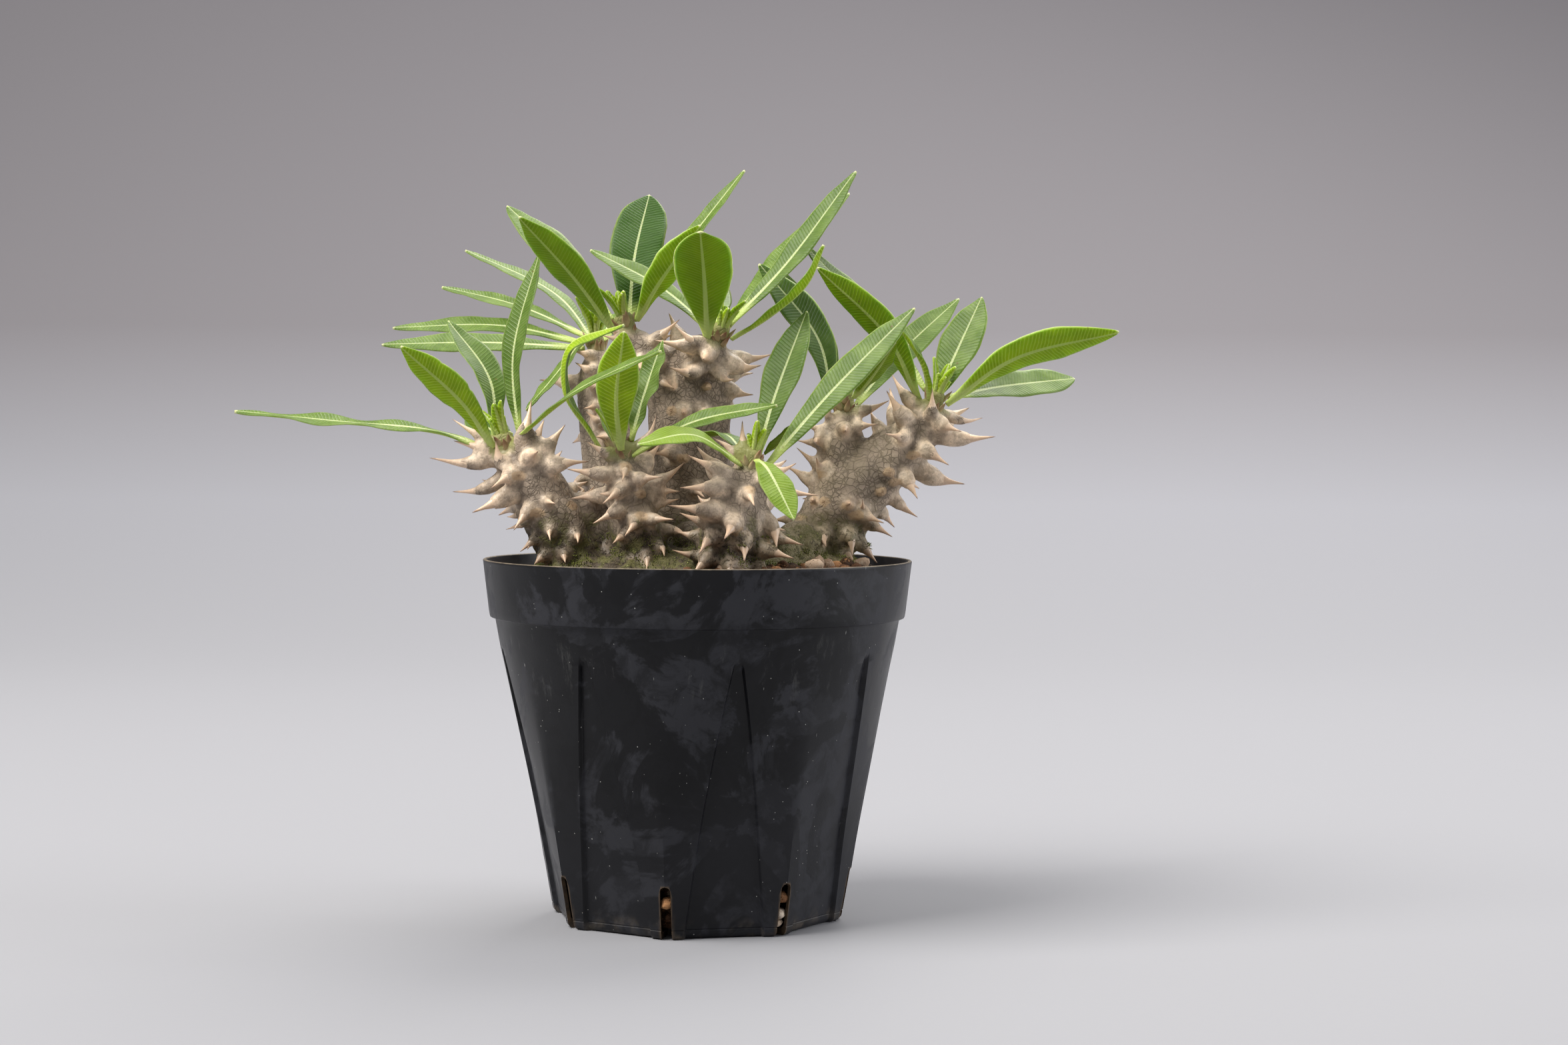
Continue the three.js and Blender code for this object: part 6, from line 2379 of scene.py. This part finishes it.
@dataclass
class MossCover:
    """Short moss shoots in the hollows between the feet of the stems."""

    body: bpy.types.Object
    shoots: int = 2400
    tallest: float = 1.0
    girth: float = 0.13
    lowest: float = 72.2
    highest: float = 82.0
    least_upward: float = -0.1
    patch_size: float = 6.0
    thickest_at: float = 76.0
    bare_under: float = 0.3

    def build(self, finish: Moss) -> bpy.types.Object:
        """Plants the shoots on the bark where it is low and hollow.

        Args:
            finish: The moss.

        Returns:
            The shoots, as one piece.
        """
        rng = random.Random(47)
        mesh = self.body.data
        points = mesh_points(mesh)
        normals = read_rows(mesh.vertices, "normal", 3)
        hollow = read_rows(mesh.attributes["hollow"].data, "value", 1)[:, 0]
        patch = np.array([noise.noise(Vector(tuple(point)) / self.patch_size) for point in points])
        tall = points[:, 2]
        likely = (tall > self.lowest) & (tall < self.highest) & (normals[:, 2] > self.least_upward)
        likely &= (patch + hollow * 0.5 - (tall - self.thickest_at) * 0.05) > self.bare_under
        spots = np.nonzero(likely)[0].tolist()
        skin = Skin()
        profile = ((0.0, 1.0), (0.4, 0.8), (0.75, 0.45))
        for spot in rng.sample(spots, min(self.shoots, len(spots))):
            lean = np.array([rng.uniform(-0.6, 0.6) for _ in range(3)])
            aim = unit(normals[spot].astype(float) + lean)
            tall = self.tallest * rng.uniform(0.35, 1.0)
            foot = points[spot] - aim * 0.2
            shoot = Thorn((foot, foot + aim * tall / 2, foot + aim * tall), self.girth, rng.random())
            skin.add_spire(shoot, profile, 4, 0.0)
        return skin.place("moss_shoots", Dress(finish.build(), "bark", (), SMOOTH))


# The studio


@dataclass(frozen=True)
class Softbox:
    """A soft square light: where it hangs, what it faces, its side, its watts and its colour."""

    name: str
    place: Point
    looks_at: Point
    side: float
    power: float
    colour: Colour

    def build(self) -> None:
        """Hangs the light."""
        data = bpy.data.lights.new(self.name, "AREA")
        data.size = self.side * MM
        data.energy = self.power
        data.color = self.colour
        light = linked(self.name, data)
        light.location = Vector(self.place) * MM
        aim = Vector(self.looks_at) * MM - light.location
        light.rotation_euler = aim.to_track_quat("-Z", "Y").to_euler()


PLANT_MIDDLE = (0.0, 0.0, 90.0)
PAPER_HIGH = (420.0, 2300.0, 250.0)
SOFTBOXES = (
    Softbox("key_softbox", (-750, -400, 1250), PLANT_MIDDLE, 900, 43, (1.0, 0.975, 0.93)),
    Softbox("back_softbox", (450, 850, 1250), PLANT_MIDDLE, 1100, 21, (1.0, 0.98, 0.94)),
    Softbox("side_softbox", (1300, -60, 420), PLANT_MIDDLE, 900, 11, (0.97, 0.98, 1.0)),
    Softbox("paper_softbox", (380, 500, 1500), PAPER_HIGH, 1800, 15, (1.0, 0.97, 0.98)),
)


@dataclass
class Studio:
    """A pale sweep of paper, soft lights and the camera."""

    view: PhotoView = PhotoView()
    bend_from: float = 600.0
    bend_depth: float = 1800.0
    bend_rise: float = 1500.0
    bend_steps: int = 48
    front_edge: float = -2400.0
    half_width: float = 3000.0
    paper_top: float = 3000.0
    room_colour: Colour = (0.96, 0.97, 1.0)
    room_strength: float = 0.38

    def build_camera(self) -> None:
        """Sets the camera where the photograph was taken from."""
        data = bpy.data.cameras.new("camera")
        data.sensor_width = self.view.sensor
        data.lens = self.view.lens
        data.clip_start = 0.01
        data.clip_end = 50
        camera = linked("camera", data)
        columns = (Vector(self.view.right), Vector(self.view.up), -Vector(self.view.forward))
        turn = Matrix(columns).transposed().to_4x4()
        camera.matrix_world = Matrix.Translation(Vector(self.view.eye) * MM) @ turn
        bpy.context.scene.camera = camera

    def build_paper(self) -> None:
        """Lays the floor and bends it up into the backdrop."""
        profile = [(self.front_edge, 0.0), (-900.0, 0.0), (0.0, 0.0), (300.0, 0.0), (self.bend_from, 0.0)]
        for step in range(1, self.bend_steps + 1):
            share = step / self.bend_steps
            profile.append((self.bend_from + self.bend_depth * share, self.bend_rise * share**2.5))
        profile.append((self.bend_from + self.bend_depth, self.paper_top))
        widths = np.linspace(-self.half_width, self.half_width, 13)
        points = np.array([(x, y, z) for y, z in profile for x in widths])
        count = len(widths)
        corners = [row * count + side for row in range(len(profile) - 1) for side in range(count - 1)]
        faces = [(corner, corner + 1, corner + count + 1, corner + count) for corner in corners]
        mesh = new_mesh("paper_sweep", points, faces)
        mesh.polygons.foreach_set("use_smooth", [True] * len(mesh.polygons))
        mesh.materials.append(Paper().build())
        sweep = linked("paper_sweep", mesh)

    def build(self) -> None:
        """Sets up the whole studio."""
        self.build_camera()
        self.build_paper()
        world = bpy.data.worlds.new("room")
        world.use_nodes = True
        sky = world.node_tree.nodes["Background"]
        sky.inputs["Color"].default_value = (*self.room_colour, 1.0)
        sky.inputs["Strength"].default_value = self.room_strength
        bpy.context.scene.world = world
        for softbox in SOFTBOXES:
            softbox.build()
        scene = bpy.context.scene
        scene.view_settings.view_transform = "Standard"
        scene.view_settings.look = "None"


def main() -> None:
    """Builds every piece in order and reports each one."""
    logging.basicConfig(level=logging.INFO, format="%(message)s")
    LOG.info("solids in the frame: %d", len(frame["nodes"]))
    Studio().build()
    pot = NurseryPot()
    pot.build(PotPlastic())
    brown = Grit("potting_grit", (0.022, 0.013, 0.008), (0.11, 0.05, 0.024), (0.42, 0.21, 0.09))
    pumice = Grit("pumice", (0.2, 0.13, 0.085), (0.46, 0.33, 0.23), (0.6, 0.5, 0.4))
    mix = PottingMix(pot)
    mix.build_bed(brown)
    mix.build_grains("potting_grains", brown, mix.grain_count, (0.5, 1.9))
    mix.build_grains("pumice_grains", pumice, mix.pumice_count, (0.5, 2.1))
    stems = {plan.name: Stem(plan) for plan in STEMS}
    foliage = Foliage(stems)
    leaf_material = foliage.build_leaves(LeafBlade())
    foliage.build_leaflets(leaf_material)
    foliage.build_scales(BudScale())
    wood = WoodyBody(stems, foliage.ribs())
    body = wood.build_body(Bark())
    wood.build_thorns(ThornHorn())
    MossCover(body).build(Moss())


if __name__ == "__main__":
    main()
